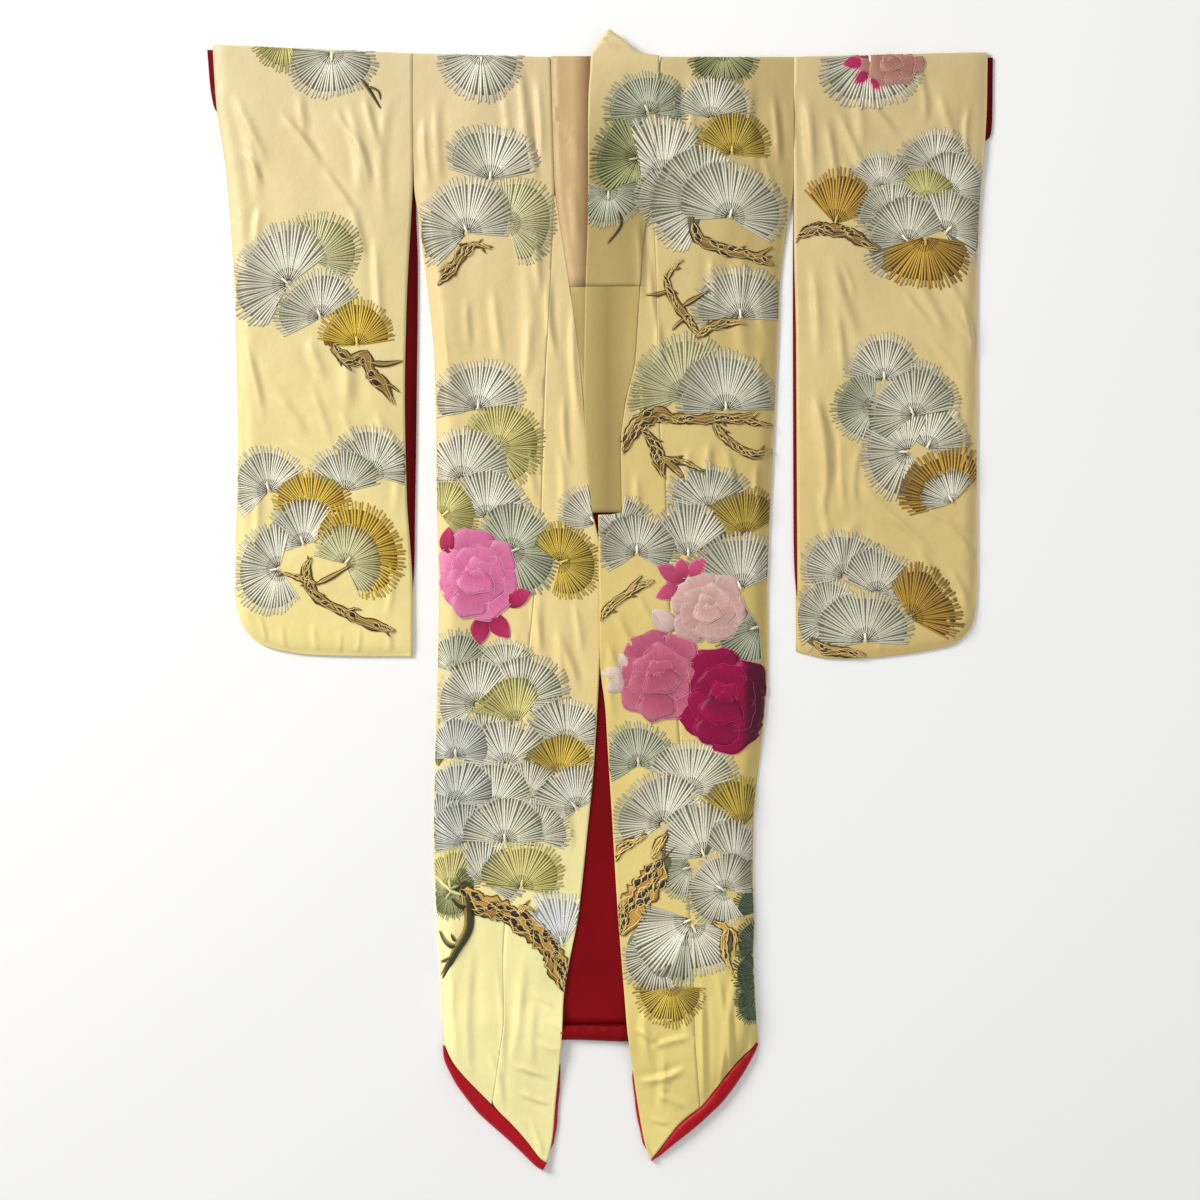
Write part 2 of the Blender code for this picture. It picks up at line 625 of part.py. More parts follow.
def build():
    for old in list(bpy.data.objects):
        bpy.data.objects.remove(old)

    right = Front(SIDE_RIGHT, PANEL_SEAM_RIGHT, FRONT_EDGE_RIGHT, HEM_RIGHT, EDGE_LEVEL_RIGHT, FOLDS_RIGHT)
    left = Front(SIDE_LEFT, PANEL_SEAM_LEFT, FRONT_EDGE_LEFT, HEM_LEFT, EDGE_LEVEL_LEFT, FOLDS_LEFT)
    body_panel("body_panel_right", right, -1, material_for("body_cloth_right", "cloth"))
    body_panel("body_panel_left", left, 1, material_for("body_cloth_left", "cloth"))
    overlap_panel("overlap_panel_right", right, -1, material_for("overlap_cloth_right", "cloth"))
    overlap_panel("overlap_panel_left", left, 1, material_for("overlap_cloth_left", "cloth"))

    right_sleeve = SleeveFront(SLEEVE_RIGHT_OUTER, SLEEVE_RIGHT_INNER, BOTTOM_RIGHT, FOLDS_SLEEVE_RIGHT)
    left_sleeve = SleeveFront(SLEEVE_LEFT_OUTER, SLEEVE_LEFT_INNER, BOTTOM_LEFT, FOLDS_SLEEVE_LEFT)
    sleeve("sleeve_right", right_sleeve, SLIT_RIGHT, -1, material_for("sleeve_cloth_right", "cloth"))
    sleeve("sleeve_left", left_sleeve, SLIT_LEFT, 1, material_for("sleeve_cloth_left", "cloth"))
    sleeve_lining("sleeve_lining_right", right_sleeve, SLIT_RIGHT, CUFF_RIGHT, -1,
                  material_for("sleeve_lining_cloth_right", "lining"))
    sleeve_lining("sleeve_lining_left", left_sleeve, SLIT_LEFT, CUFF_LEFT, 1,
                  material_for("sleeve_lining_cloth_left", "lining"))

    under = band_half(FRONT_EDGE_RIGHT, PANEL_SEAM_RIGHT, BAND_RIGHT_FREE, COLLAR_TOP[:1],
                      UNDER_BAND_LEVEL, -1, 0)
    over = band_half(FRONT_EDGE_LEFT, PANEL_SEAM_LEFT, BAND_LEFT_FREE, COLLAR_TOP, OVER_BAND_LEVEL, 1,
                     OVER_BAND_CROWN)
    collar_band("collar_band_right", under, material_for("collar_cloth_right", "collar"))
    collar_band("collar_band_left", over, material_for("collar_cloth_left", "collar"))
    over_collar("over_collar_right", under, material_for("over_collar_cloth_right", "cloth"))
    over_collar("over_collar_left", over, material_for("over_collar_cloth_left", "cloth"))

    lining_rows = [(down, along(SIDE_RIGHT, down) + LINING_INSIDE, along(SIDE_LEFT, down) - LINING_INSIDE)
                   for down in spaced([LINING_TOP, BACK_HEM - ROLL_WIDTH - GAP], LINING_PITCH)]
    flat_lining("back_lining", lining_rows, material_for("back_lining_cloth", "lining"))
    hem_roll("hem_roll_right", right, ROLL_RIGHT, material_for("hem_cloth_right", "lining"))
    hem_roll("hem_roll_left", left, ROLL_LEFT, material_for("hem_cloth_left", "lining"))
    back_roll("hem_roll_back", material_for("hem_cloth_back", "lining"))


build()
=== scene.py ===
import math
import random

import bmesh
import bpy
import numpy as np
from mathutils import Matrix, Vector, noise
from mathutils.bvhtree import BVHTree


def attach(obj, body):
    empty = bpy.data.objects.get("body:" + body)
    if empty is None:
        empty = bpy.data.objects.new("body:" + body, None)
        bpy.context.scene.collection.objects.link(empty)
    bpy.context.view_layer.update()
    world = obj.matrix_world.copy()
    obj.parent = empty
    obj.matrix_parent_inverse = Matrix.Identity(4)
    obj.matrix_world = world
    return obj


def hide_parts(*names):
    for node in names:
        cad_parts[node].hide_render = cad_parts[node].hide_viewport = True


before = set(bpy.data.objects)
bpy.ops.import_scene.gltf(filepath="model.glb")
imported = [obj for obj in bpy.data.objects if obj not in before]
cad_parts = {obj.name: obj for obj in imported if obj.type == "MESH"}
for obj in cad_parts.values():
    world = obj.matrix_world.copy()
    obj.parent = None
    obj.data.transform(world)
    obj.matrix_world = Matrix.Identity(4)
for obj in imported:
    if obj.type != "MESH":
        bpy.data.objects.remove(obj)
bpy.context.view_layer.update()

scene = bpy.context.scene

# Places on the robe are (across, down) in millimetres: across from the centre line, down from the
# shoulder line. The robe's middle, 907 mm down, lies on Y = 0.
middleDown = 907


def spot(across, down):
    return across / 1000, (middleDown - down) / 1000


# Share of the way from one value to another, from 0 to 1 with soft ends
def rising(value, low, high):
    share = np.clip((value - low) / (high - low), 0, 1)
    return share * share * (3 - 2 * share)


def addObject(name, data):
    added = bpy.data.objects.new(name, data)
    scene.collection.objects.link(added)
    return added


# Finished mesh of a helper object, which is then removed
def bakedMesh(holder):
    bpy.context.view_layer.update()
    mesh = bpy.data.meshes.new_from_object(holder.evaluated_get(bpy.context.evaluated_depsgraph_get()))
    bpy.data.objects.remove(holder)
    return mesh


def addPiece(name, mesh, material, replaced=None):
    mesh.name = name
    mesh.materials.clear()
    mesh.materials.append(material)
    mesh.polygons.foreach_set("use_smooth", [True] * len(mesh.polygons))
    piece = addObject(name, mesh)
    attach(piece, "root")
    if replaced:
        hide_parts(replaced)
    return piece


# Camera: straight above, with the neck at the top of the picture
view = {"height": 4.2, "width": 1.987, "sensor": 36, "up": 0.0005}
cameraData = bpy.data.cameras.new("overhead")
cameraData.sensor_width = view["sensor"]
cameraData.lens = view["sensor"] * view["height"] / view["width"]
camera = addObject("overhead", cameraData)
camera.location = (0, view["up"], view["height"])
scene.camera = camera
scene.view_settings.view_transform = "Standard"

# Light: a wide soft panel from the upper left, a weaker one opposite, and a bright room
lamps = {"keyPanel": {"at": (-4.3, 3.0, 3.3), "size": 2.4, "watts": 350, "colour": (1, 0.985, 0.955)},
         "fillPanel": {"at": (2.8, -1.2, 3.0), "size": 3.0, "watts": 22, "colour": (0.95, 0.975, 1)}}
roomLight = 0.47
for name, lamp in lamps.items():
    lampData = bpy.data.lights.new(name, "AREA")
    lampData.size = lamp["size"]
    lampData.energy = lamp["watts"]
    lampData.color = lamp["colour"]
    lampObject = addObject(name, lampData)
    lampObject.location = lamp["at"]
    lampObject.rotation_euler = (-Vector(lamp["at"])).to_track_quat("-Z", "Y").to_euler()
world = bpy.data.worlds.new("brightRoom")
world.use_nodes = True
world.node_tree.nodes["Background"].inputs["Color"].default_value = (1, 1, 1, 1)
world.node_tree.nodes["Background"].inputs["Strength"].default_value = roomLight
scene.world = world
print("camera and lights are set")


# Sockets of a node are linked where a socket is given, and set where a value is given
def setSockets(tree, node, sockets):
    for key, value in sockets.items():
        if isinstance(value, bpy.types.NodeSocket):
            tree.links.new(value, node.inputs[key])
        else:
            node.inputs[key].default_value = value


def addNode(tree, kind, at, sockets={}, **settings):
    node = tree.nodes.new("ShaderNode" + kind)
    node.location = at
    for key, value in settings.items():
        setattr(node, key, value)
    setSockets(tree, node, sockets)
    return node


# Each of these adds one node and gives back its output
def addMath(tree, at, operation, *values):
    return addNode(tree, "Math", at, dict(enumerate(values)), operation=operation).outputs[0]


def addRange(tree, at, value, low, high, toLow=0, toHigh=1, **settings):
    sockets = {"Value": value, "From Min": low, "From Max": high, "To Min": toLow, "To Max": toHigh}
    return addNode(tree, "MapRange", at, sockets, **settings).outputs["Result"]


def addNoise(tree, at, place, scale, detail, roughness=0.5):
    sockets = {"Vector": place, "Scale": scale, "Detail": detail, "Roughness": roughness}
    return addNode(tree, "TexNoise", at, sockets).outputs["Fac"]


def addBump(tree, at, height, strength, distance, below=None):
    sockets = {"Height": height, "Strength": strength, "Distance": distance}
    return addNode(tree, "Bump", at, {**sockets, "Normal": below} if below else sockets).outputs["Normal"]


def stretch(tree, at, place, scale):
    return addNode(tree, "Mapping", at, {"Scale": scale, "Vector": place}).outputs[0]


def multiply(tree, at, factor, first, second):
    sockets = {0: factor, 6: first, 7: second}
    return addNode(tree, "Mix", at, sockets, data_type="RGBA", blend_type="MULTIPLY").outputs[2]


def colourRamp(tree, at, factor, stops):
    ramp = addNode(tree, "ValToRGB", at, {"Fac": factor})
    elements = ramp.color_ramp.elements
    for element, (position, colour) in zip(elements, (stops[0], stops[-1])):
        element.position = position
        element.color = (*colour, 1)
    for position, colour in stops[1:-1]:
        elements.new(position).color = (*colour, 1)
    return ramp.outputs["Color"]


def newMaterial(name):
    material = bpy.data.materials.new(name)
    material.use_nodes = True
    return material, material.node_tree, material.node_tree.nodes["Principled BSDF"]


def hexColour(code):
    def toLinear(share):
        return share / 12.92 if share <= 0.04045 else ((share + 0.055) / 1.055) ** 2.4
    return tuple(toLinear(int(code[at:at + 2], 16) / 255) for at in (0, 2, 4))


# Silk weave: fine threads both ways, slubs along one way, and slow cloudy marks.
# Height is for a bump, Tone darkens between threads as painted shade in the weave's hollows, Cloud moves the
# colour over the cloth.
weave = {"threads": 1400, "slubs": (620, 60, 60), "crossing": 0.45, "tones": (0.93, 1.04), "cloud": 5.5,
         "patches": (0.38, 0.68), "crumples": 38, "crumpleDeep": 0.0016, "threadDeep": 0.0002}
silkWeave = bpy.data.node_groups.new("silkWeave", "ShaderNodeTree")
silkWeave.interface.new_socket("Vector", in_out="INPUT", socket_type="NodeSocketVector")
for name in ("Height", "Tone", "Cloud"):
    silkWeave.interface.new_socket(name, in_out="OUTPUT", socket_type="NodeSocketFloat")
start, end = silkWeave.nodes.new("NodeGroupInput"), silkWeave.nodes.new("NodeGroupOutput")
start.location, end.location = (-900, 0), (700, 0)
place = start.outputs["Vector"]
scaled = addNode(silkWeave, "VectorMath", (-700, 100), {0: place, "Scale": weave["threads"]},
                 operation="SCALE")
parts = addNode(silkWeave, "SeparateXYZ", (-520, 100), {0: scaled.outputs[0]}).outputs
waves = [addMath(silkWeave, (-340, at), "SINE", parts[axis]) for axis, at in (("X", 200), ("Y", 0))]
crossing = addMath(silkWeave, (-160, 100), "MULTIPLY", *waves)
slubs = addNoise(silkWeave, (-500, -200), stretch(silkWeave, (-700, -200), place, weave["slubs"]), 1, 2)
height = addMath(silkWeave, (60, 40), "MULTIPLY_ADD", crossing, weave["crossing"], slubs)
setSockets(silkWeave, end, {
    "Height": height, "Tone": addRange(silkWeave, (260, -60), height, 0.1, 0.9, *weave["tones"]),
    "Cloud": addNoise(silkWeave, (-160, -420), place, weave["cloud"], 4, 0.6)})


# Satin: tones along one axis of the robe, then cloudy patches, then painted shade along one side if there is
# one
def satin(name, stops, axis="Y", span=(0.9, -0.9), cloudTone=(0.9, 0.84, 0.7), cloudShare=0.35,
          roughness=0.42, sheen=0.14, wrinkles=0.7, specular=0.4, side=None):
    material, tree, shader = newMaterial(name)
    place = addNode(tree, "TexCoord", (-1500, 0)).outputs["Object"]
    parts = addNode(tree, "SeparateXYZ", (-1300, 200), {0: place}).outputs
    woven = addNode(tree, "Group", (-1100, -150), {"Vector": place}, node_tree=silkWeave).outputs
    run = addRange(tree, (-1100, 200), parts[axis], *span)
    ground = colourRamp(tree, (-900, 200), run, [(position, hexColour(code)) for position, code in stops])
    cloudStops = list(zip(weave["patches"], ((1, 1, 1), cloudTone)))
    patches = colourRamp(tree, (-900, -60), woven["Cloud"], cloudStops)
    clouded = multiply(tree, (-560, 150), cloudShare, ground, patches)
    # Painted shade between the weave's threads
    tones = addNode(tree, "CombineColor", (-760, -260), dict.fromkeys((0, 1, 2), woven["Tone"]))
    toned = multiply(tree, (-340, 120), 1.0, clouded, tones.outputs["Color"])
    # Painted shade: the cloth turns darker across the robe, from one place to another, to the given tone
    if side:
        across = addRange(tree, (-560, 420), parts["X"], *side[:2], interpolation_type="SMOOTHSTEP")
        toned = multiply(tree, (-160, 260), across, toned, side[2])
    crumples = addNoise(tree, (-900, -480), place, weave["crumples"], 3)
    soft = addBump(tree, (-560, -420), crumples, wrinkles, weave["crumpleDeep"])
    setSockets(tree, shader, {
        "Base Color": toned, "Roughness": roughness, "Specular IOR Level": specular,
        "Sheen Weight": sheen, "Sheen Roughness": 0.45,
        "Normal": addBump(tree, (-340, -300), woven["Height"], 0.25, weave["threadDeep"], soft)})
    return material


# Satins: colour stops along the axis, the span in metres, and what else differs from the plain satin
satinLooks = {
    # The body and sleeve stops run darker at the top and paler below, partly the silk's own tone and partly
    # painted light
    "rightBodySatin": {
        "stops": [(0, "D8C498"), (0.4, "EDD594"), (0.6, "EDD594"), (0.8, "FFF5B0"), (1, "FFF5B0")]},
    "leftBodySatin": {
        "stops": [(0, "CEBA86"), (0.45, "DFC67C"), (1, "EEDB86")],
        # Painted shade on the left front towards its side, where the cloth falls away from the light
        "side": (0.13, 0.26, (0.82, 0.8, 0.72, 1))},
    "rightSleeveSatin": {"stops": [(0, "D9C89C"), (1, "F5E398")], "span": (0.9, -0.1)},
    "leftSleeveSatin": {"stops": [(0, "CFBA88"), (0.5, "DBC589"), (1, "D8BE78")], "span": (0.9, -0.1)},
    "overCollarSatin": {"stops": [(0, "DCC894"), (0.5, "A8935A"), (1, "B8A266")], "span": (0.9, 0.5)},
    # The neck strip darkens to a painted brown shade where it runs under the left collar's edge
    "neckStripSatin": {
        "stops": [(0, "C2A778"), (0.55, "CEB080"), (1, "8A6842")], "axis": "X", "span": (-0.075, -0.02)},
    "collarSatin": {
        "stops": [(0, "BBA767"), (0.5, "A08C52"), (1, "C2AA68")], "axis": "X", "span": (-0.025, 0.05)},
    "crimsonSilk": {
        "stops": [(0, "700008"), (1, "8C0610")], "span": (0, -0.75), "cloudTone": (0.62, 0.6, 0.6),
        "cloudShare": 0.5, "roughness": 0.5, "sheen": 0.02, "wrinkles": 0.6, "specular": 0.1},
    "hemRed": {
        "stops": [(0, "A00A18"), (1, "BE1424")], "span": (-0.7, -0.95), "cloudTone": (0.72, 0.62, 0.62),
        "cloudShare": 0.5, "roughness": 0.4, "sheen": 0.04, "wrinkles": 0.8, "specular": 0.15},
}
silks = {name: satin(name, **look) for name, look in satinLooks.items()}
print("silks are ready")

# Cloth: how high and narrow the creases are, how far they bend, their soft ends, the place, width and
# depth of the trough beside each, the band of finer faces, slow ripples in millimetres and their waves
# (wide, long, seed, share), the longest face before smoothing, and where the upper layer begins
clothFall = {"gain": 1.75, "sharp": 0.74, "bend": 0.07, "ends": 0.35, "trough": (1.9, 1.2, 0.45), "band": 1.8,
             "ripple": 1.1, "waves": ((62, 95, 0, 1), (21, 30, 9, 0.35)), "longest": 0.03, "levels": 2,
             "low": 0.0032, "rise": 0.004}
# Soft drop of the left front towards its side, in millimetres, over the thickness of the front in metres
sideDrop = {"frontLeft": {"across": (200, 296), "down": (120, 320), "drop": 7.5, "thick": 0.017}}


# A node's mesh, merged, with its edges kept sharp and its long faces cut
def nodeMesh(node):
    bm = bmesh.new()
    bm.from_mesh(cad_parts[node].data)
    bmesh.ops.remove_doubles(bm, verts=bm.verts, dist=0.00002)
    bmesh.ops.join_triangles(bm, faces=bm.faces, angle_face_threshold=0.7, angle_shape_threshold=1.2)
    crease = bm.edges.layers.float.new("crease_edge")
    for edge in bm.edges:
        if len(edge.link_faces) == 2 and edge.calc_face_angle(0) > 1.05:
            edge[crease] = 1.0
    long = [edge for edge in bm.edges if edge.calc_length() > clothFall["longest"]]
    bmesh.ops.subdivide_edges(bm, edges=long, cuts=1, use_grid_fill=True)
    for face in bm.faces:
        face.smooth = True
    mesh = bpy.data.meshes.new(node + "_shown")
    bm.to_mesh(mesh)
    bm.free()
    return mesh


# Height that the creases add at each place, and which places lie in the band of one
def creaseHeight(across, down, places, seed):
    rng = random.Random(seed)
    total, inBand = np.zeros_like(across), np.zeros(len(across), bool)
    troughAt, troughWide, troughDeep = clothFall["trough"]
    for startAcross, startDown, endAcross, endDown, halfWidth, height in places:
        halfWidth *= clothFall["sharp"]
        length = math.dist((startAcross, startDown), (endAcross, endDown))
        alongX, alongY = (endAcross - startAcross) / length, (endDown - startDown) / length
        share = ((across - startAcross) * alongX + (down - startDown) * alongY) / length
        bend = rng.uniform(-clothFall["bend"], clothFall["bend"]) * length
        off = (across - startAcross) * -alongY + (down - startDown) * alongX
        off = off - bend * np.sin(np.clip(share, 0, 1) * math.pi)
        ends = rising(share, 0, clothFall["ends"]) * rising(1 - share, 0, clothFall["ends"])
        side = rng.choice((-1, 1))
        ridge = np.exp(-(off / halfWidth) ** 2)
        trough = np.exp(-((off * side - troughAt * halfWidth) / (troughWide * halfWidth)) ** 2)
        total += clothFall["gain"] * height * ends * (ridge - troughDeep * trough)
        beside = abs(off - 0.7 * side * halfWidth) < clothFall["band"] * halfWidth
        inBand |= beside & (abs(share - 0.5) < 0.47)
    return total, inBand


# Finer faces along the creases
def refineCreases(mesh, places, seed):
    bm = bmesh.new()
    bm.from_mesh(mesh)
    middles = np.array([face.calc_center_median()[:] for face in bm.faces])
    height, inBand = creaseHeight(middles[:, 0] * 1000, middleDown - middles[:, 1] * 1000, places, seed)
    inBand &= middles[:, 2] > clothFall["low"] + clothFall["rise"]
    edges = {edge for face, wanted in zip(bm.faces, inBand) if wanted for edge in face.edges}
    bmesh.ops.subdivide_edges(bm, edges=list(edges), cuts=1, use_grid_fill=True)
    bm.to_mesh(mesh)
    bm.free()


# A thin wall on its solid's form, with the creases laid into its upper layer
def clothPiece(name, node, silk, creaseSet, seed):
    rough = addObject(name + "_rough", nodeMesh(node))
    subdivision = rough.modifiers.new("smooth", "SUBSURF")
    subdivision.levels = subdivision.render_levels = clothFall["levels"]
    shape = bakedMesh(rough)
    places = creases.get(creaseSet, ())
    if places and not name.startswith("hemRoll"):
        refineCreases(shape, places, seed)
    points = np.empty(len(shape.vertices) * 3)
    shape.vertices.foreach_get("co", points)
    points = points.reshape(-1, 3)
    across, down, low = points[:, 0] * 1000, middleDown - points[:, 1] * 1000, clothFall["low"]
    lifted = rising(points[:, 2], low, low + clothFall["rise"])
    change, inBand = creaseHeight(across, down, places, seed)
    waves = np.array([sum(share * noise.noise((x / wide, y / long, seed + more))
                          for wide, long, more, share in clothFall["waves"]) for x, y in zip(across, down)])
    points[:, 2] += (change + clothFall["ripple"] * waves) * lifted / 1000
    if creaseSet in sideDrop:
        fall = sideDrop[creaseSet]
        fallen = rising(across, *fall["across"]) * rising(down, *fall["down"])
        points[:, 2] -= fall["drop"] / 1000 * fallen * np.clip((points[:, 2] - low) / fall["thick"], 0, 1)
    points[:, 2] = np.maximum(points[:, 2], 0)
    shape.vertices.foreach_set("co", points.ravel())
    return addPiece(name, shape, silks[silk], node)


# Creases: across and down of one end, across and down of the other, half width, height
creases = {
    "sleeveRight": [
        (-533, 98, -455, 195, 8, 3.4), (-462, 190, -400, 275, 7, 2.4), (-600, 156, -556, 226, 6, 2.0),
        (-588, 477, -555, 609, 8, 2.0), (-345, 60, -352, 300, 11, 1.4), (-572, 690, -580, 860, 9, 1.8),
        (-480, 545, -440, 660, 8, 1.4), (-350, 610, -340, 780, 9, 1.4), (-566, 928, -552, 986, 5, 1.3),
        (-524, 944, -517, 994, 5, 1.0), (-474, 940, -468, 998, 6, 1.2), (-430, 956, -433, 999, 4, 0.8),
        (-398, 950, -404, 1000, 5, 1.0), (-352, 945, -347, 999, 6, 1.2), (-586, 100, -548, 190, 8, 2.2),
        (-391, 66, -364, 170, 8, 2.4), (-410, 128, -380, 230, 7, 2.0), (-500, 60, -488, 150, 9, 1.8),
        (-440, 90, -400, 160, 7, 1.8), (-372, 300, -362, 480, 9, 2.2), (-483, 470, -450, 545, 11, 2.6),
        (-430, 585, -400, 660, 9, 1.8), (-540, 560, -480, 640, 10, 2.0), (-596, 560, -588, 700, 8, 1.8),
        (-380, 600, -372, 690, 8, 2.0), (-520, 640, -440, 690, 8, 1.6), (-560, 250, -566, 330, 9, 1.8),
        (-410, 250, -385, 350, 9, 2.2), (-350, 820, -352, 940, 7, 1.6), (-606, 60, -564, 256, 11, 2.8),
        (-420, 76, -394, 246, 12, 2.4), (-420, 488, -416, 600, 14, 2.6), (-372, 590, -332, 672, 10, 2.2)],
    "sleeveLeft": [
        (389, 90, 447, 229, 9, 3.0), (420, 60, 500, 150, 8, 2.2), (397, 344, 422, 411, 7, 1.8),
        (497, 394, 560, 464, 7, 2.2), (560, 420, 610, 470, 6, 1.6), (362, 600, 366, 780, 8, 2.0),
        (396, 615, 405, 775, 7, 1.8), (432, 640, 424, 765, 7, 1.4), (505, 738, 622, 796, 8, 2.2),
        (560, 775, 622, 845, 7, 2.0), (590, 560, 604, 690, 8, 1.6), (350, 880, 352, 1000, 6, 1.2),
        (405, 930, 400, 1004, 5, 1.0), (460, 950, 463, 1001, 6, 1.0), (560, 900, 585, 970, 6, 1.3),
        (345, 60, 352, 250, 10, 2.2), (372, 110, 392, 230, 8, 2.4), (560, 60, 590, 160, 9, 2.0),
        (610, 80, 606, 190, 7, 1.8), (520, 20, 536, 130, 8, 1.8), (350, 340, 362, 520, 10, 2.4),
        (386, 400, 404, 560, 9, 2.0), (560, 340, 600, 420, 8, 2.2), (590, 400, 620, 520, 8, 2.0),
        (540, 470, 600, 540, 8, 1.8), (350, 560, 392, 700, 9, 2.2), (420, 700, 520, 800, 9, 2.4),
        (470, 760, 560, 840, 8, 2.0), (360, 720, 380, 830, 8, 1.8), (600, 600, 616, 740, 7, 1.8),
        (572, 850, 610, 930, 8, 2.0), (345, 840, 350, 930, 7, 1.6), (384, 328, 430, 488, 14, 2.8),
        (355, 550, 386, 737, 13, 2.6), (507, 350, 580, 488, 12, 2.2), (520, 804, 610, 936, 10, 2.6),
        (334, 58, 348, 202, 11, 2.2), (408, 14, 432, 180, 12, 1.8), (433, 762, 380, 887, 14, 2.4)],
    "frontRight": [
        (-136, 10, -130, 180, 9, 2.2), (-105, 30, -98, 205, 7, 1.8), (-270, 60, -262, 240, 10, 1.6),
        (-262, 420, -245, 560, 8, 1.5), (-120, 440, -128, 560, 9, 1.5), (-70, 640, -64, 780, 8, 1.4),
        (-70, 930, -60, 1080, 9, 1.6), (-100, 880, -104, 1010, 7, 1.2), (-60, 1240, -48, 1330, 8, 1.3),
        (-236, 1500, -230, 1690, 7, 0.9), (-208, 1460, -212, 1720, 9, 1.3), (-176, 1480, -170, 1750, 7, 1.1),
        (-128, 1490, -134, 1600, 8, 1.0), (-112, 1552, -72, 1578, 5, 1.6), (-147, 1672, -80, 1697, 6, 2.0),
        (-136, 1716, -78, 1742, 6, 1.8), (-90, 1600, -52, 1622, 5, 1.2), (-110, 1630, -66, 1652, 6, 1.4),
        (-119, 85, -101, 225, 8, 2.4), (-68, 100, -34, 190, 7, 2.4), (-52, 210, -40, 330, 8, 2.2),
        (-290, 100, -280, 230, 8, 1.8), (-160, 60, -150, 150, 9, 1.6), (-110, 250, -96, 420, 9, 2.4),
        (-178, 380, -160, 520, 10, 2.2), (-220, 400, -214, 500, 8, 1.6), (-84, 360, -70, 520, 8, 2.2),
        (-44, 400, -30, 640, 8, 2.0), (-112, 620, -100, 760, 8, 1.8), (-60, 560, -50, 700, 7, 1.8),
        (-110, 900, -92, 1010, 8, 2.2), (-72, 960, -34, 1060, 9, 2.6), (-44, 900, -28, 1000, 7, 2.0),
        (-150, 960, -120, 1010, 7, 1.6), (-250, 1480, -246, 1620, 7, 1.1), (-140, 1500, -150, 1680, 9, 1.4),
        (-106, 1560, -110, 1690, 8, 1.1), (-190, 1640, -160, 1760, 7, 1.3), (-118, 1760, -92, 1830, 6, 1.6),
        (-116, 235, -108, 610, 17, 2.2)],
    "frontLeft": [
        (150, 30, 156, 170, 9, 1.8), (250, 30, 262, 220, 10, 1.8), (270, 480, 262, 600, 8, 1.5),
        (80, 330, 96, 470, 7, 1.3), (60, 520, 66, 640, 8, 1.4), (20, 980, 26, 1120, 8, 1.5),
        (168, 1520, 172, 1750, 7, 3.0), (188, 1500, 191, 1740, 7, 3.2), (208, 1540, 212, 1722, 6, 2.6),
        (228, 1500, 225, 1712, 7, 3.0), (246, 1530, 243, 1690, 6, 2.6), (56, 1614, 100, 1642, 6, 2.8),
        (84, 1646, 152, 1628, 6, 3.0), (56, 1703, 146, 1677, 7, 3.2), (92, 1722, 142, 1748, 6, 2.6),
        (72, 1600, 138, 1590, 6, 1.4), (80, 1762, 118, 1772, 5, 1.4), (126, 1480, 128, 1590, 8, 1.6),
        (2, -16, 34, -5, 3, 2.4), (120, 40, 116, 130, 8, 2.0), (246, 280, 252, 560, 15, 3.0),
        (236, 1440, 234, 1640, 12, 2.4), (284, 60, 296, 200, 8, 2.4), (262, 160, 290, 250, 7, 2.0),
        (60, 270, 66, 420, 9, 2.0), (184, 330, 190, 440, 9, 2.4), (214, 340, 222, 420, 8, 2.0),
        (260, 350, 276, 480, 8, 2.4), (96, 440, 104, 540, 8, 2.2), (180, 640, 176, 730, 9, 2.6),
        (206, 650, 214, 740, 8, 2.2), (150, 650, 146, 740, 8, 2.0), (260, 670, 266, 780, 8, 2.2),
        (60, 690, 66, 790, 8, 1.8), (24, 930, 60, 1000, 9, 2.4), (10, 970, 40, 1060, 8, 2.0),
        (60, 900, 100, 960, 8, 2.0), (14, 1120, 30, 1180, 7, 1.8), (78, 1560, 84, 1680, 9, 2.2),
        (104, 1640, 100, 1760, 8, 1.8), (146, 1520, 150, 1640, 8, 2.2), (70, 1800, 92, 1840, 6, 1.6)],
    "backHem": [(23 * step - 60, 1596, 24 * step - 62, 1632, 4, 1.5 - 0.3 * (step % 3)) for step in range(5)]
    + [(-96, 1550, -93, 1700, 14, -1.8), (57, 1550, 58, 1700, 14, -1.8)],
}

# Cloth pieces: node, silk, set of creases, and seed
clothLooks = {
    "bodyRight": ("body_panel_right", "rightBodySatin", "frontRight", 3),
    "overlapRight": ("overlap_panel_right", "rightBodySatin", "frontRight", 3),
    "bodyLeft": ("body_panel_left", "leftBodySatin", "frontLeft", 5),
    "overlapLeft": ("overlap_panel_left", "leftBodySatin", "frontLeft", 5),
    "sleeveRight": ("sleeve_right", "rightSleeveSatin", "sleeveRight", 7),
    "sleeveLeft": ("sleeve_left", "leftSleeveSatin", "sleeveLeft", 11),
    "sleeveLiningRight": ("sleeve_lining_right", "crimsonSilk", None, 13),
    "sleeveLiningLeft": ("sleeve_lining_left", "crimsonSilk", None, 15),
    "collarBandRight": ("collar_band_right", "collarSatin", "frontRight", 3),
    "collarBandLeft": ("collar_band_left", "collarSatin", "frontLeft", 5),
    "overCollarRight": ("over_collar_right", "neckStripSatin", "frontRight", 3),
    "overCollarLeft": ("over_collar_left", "overCollarSatin", "frontLeft", 5),
    "backLining": ("back_lining", "crimsonSilk", None, 17),
    "hemRollRight": ("hem_roll_right", "hemRed", "frontRight", 3),
    "hemRollLeft": ("hem_roll_left", "hemRed", "frontLeft", 5),
    "hemRollBack": ("hem_roll_back", "crimsonSilk", "backHem", 19),
}
clothPieces = {}
for name, look in clothLooks.items():
    clothPieces[name] = clothPiece(name, *look)
    print("cloth piece", name, len(clothPieces[name].data.polygons), "faces")

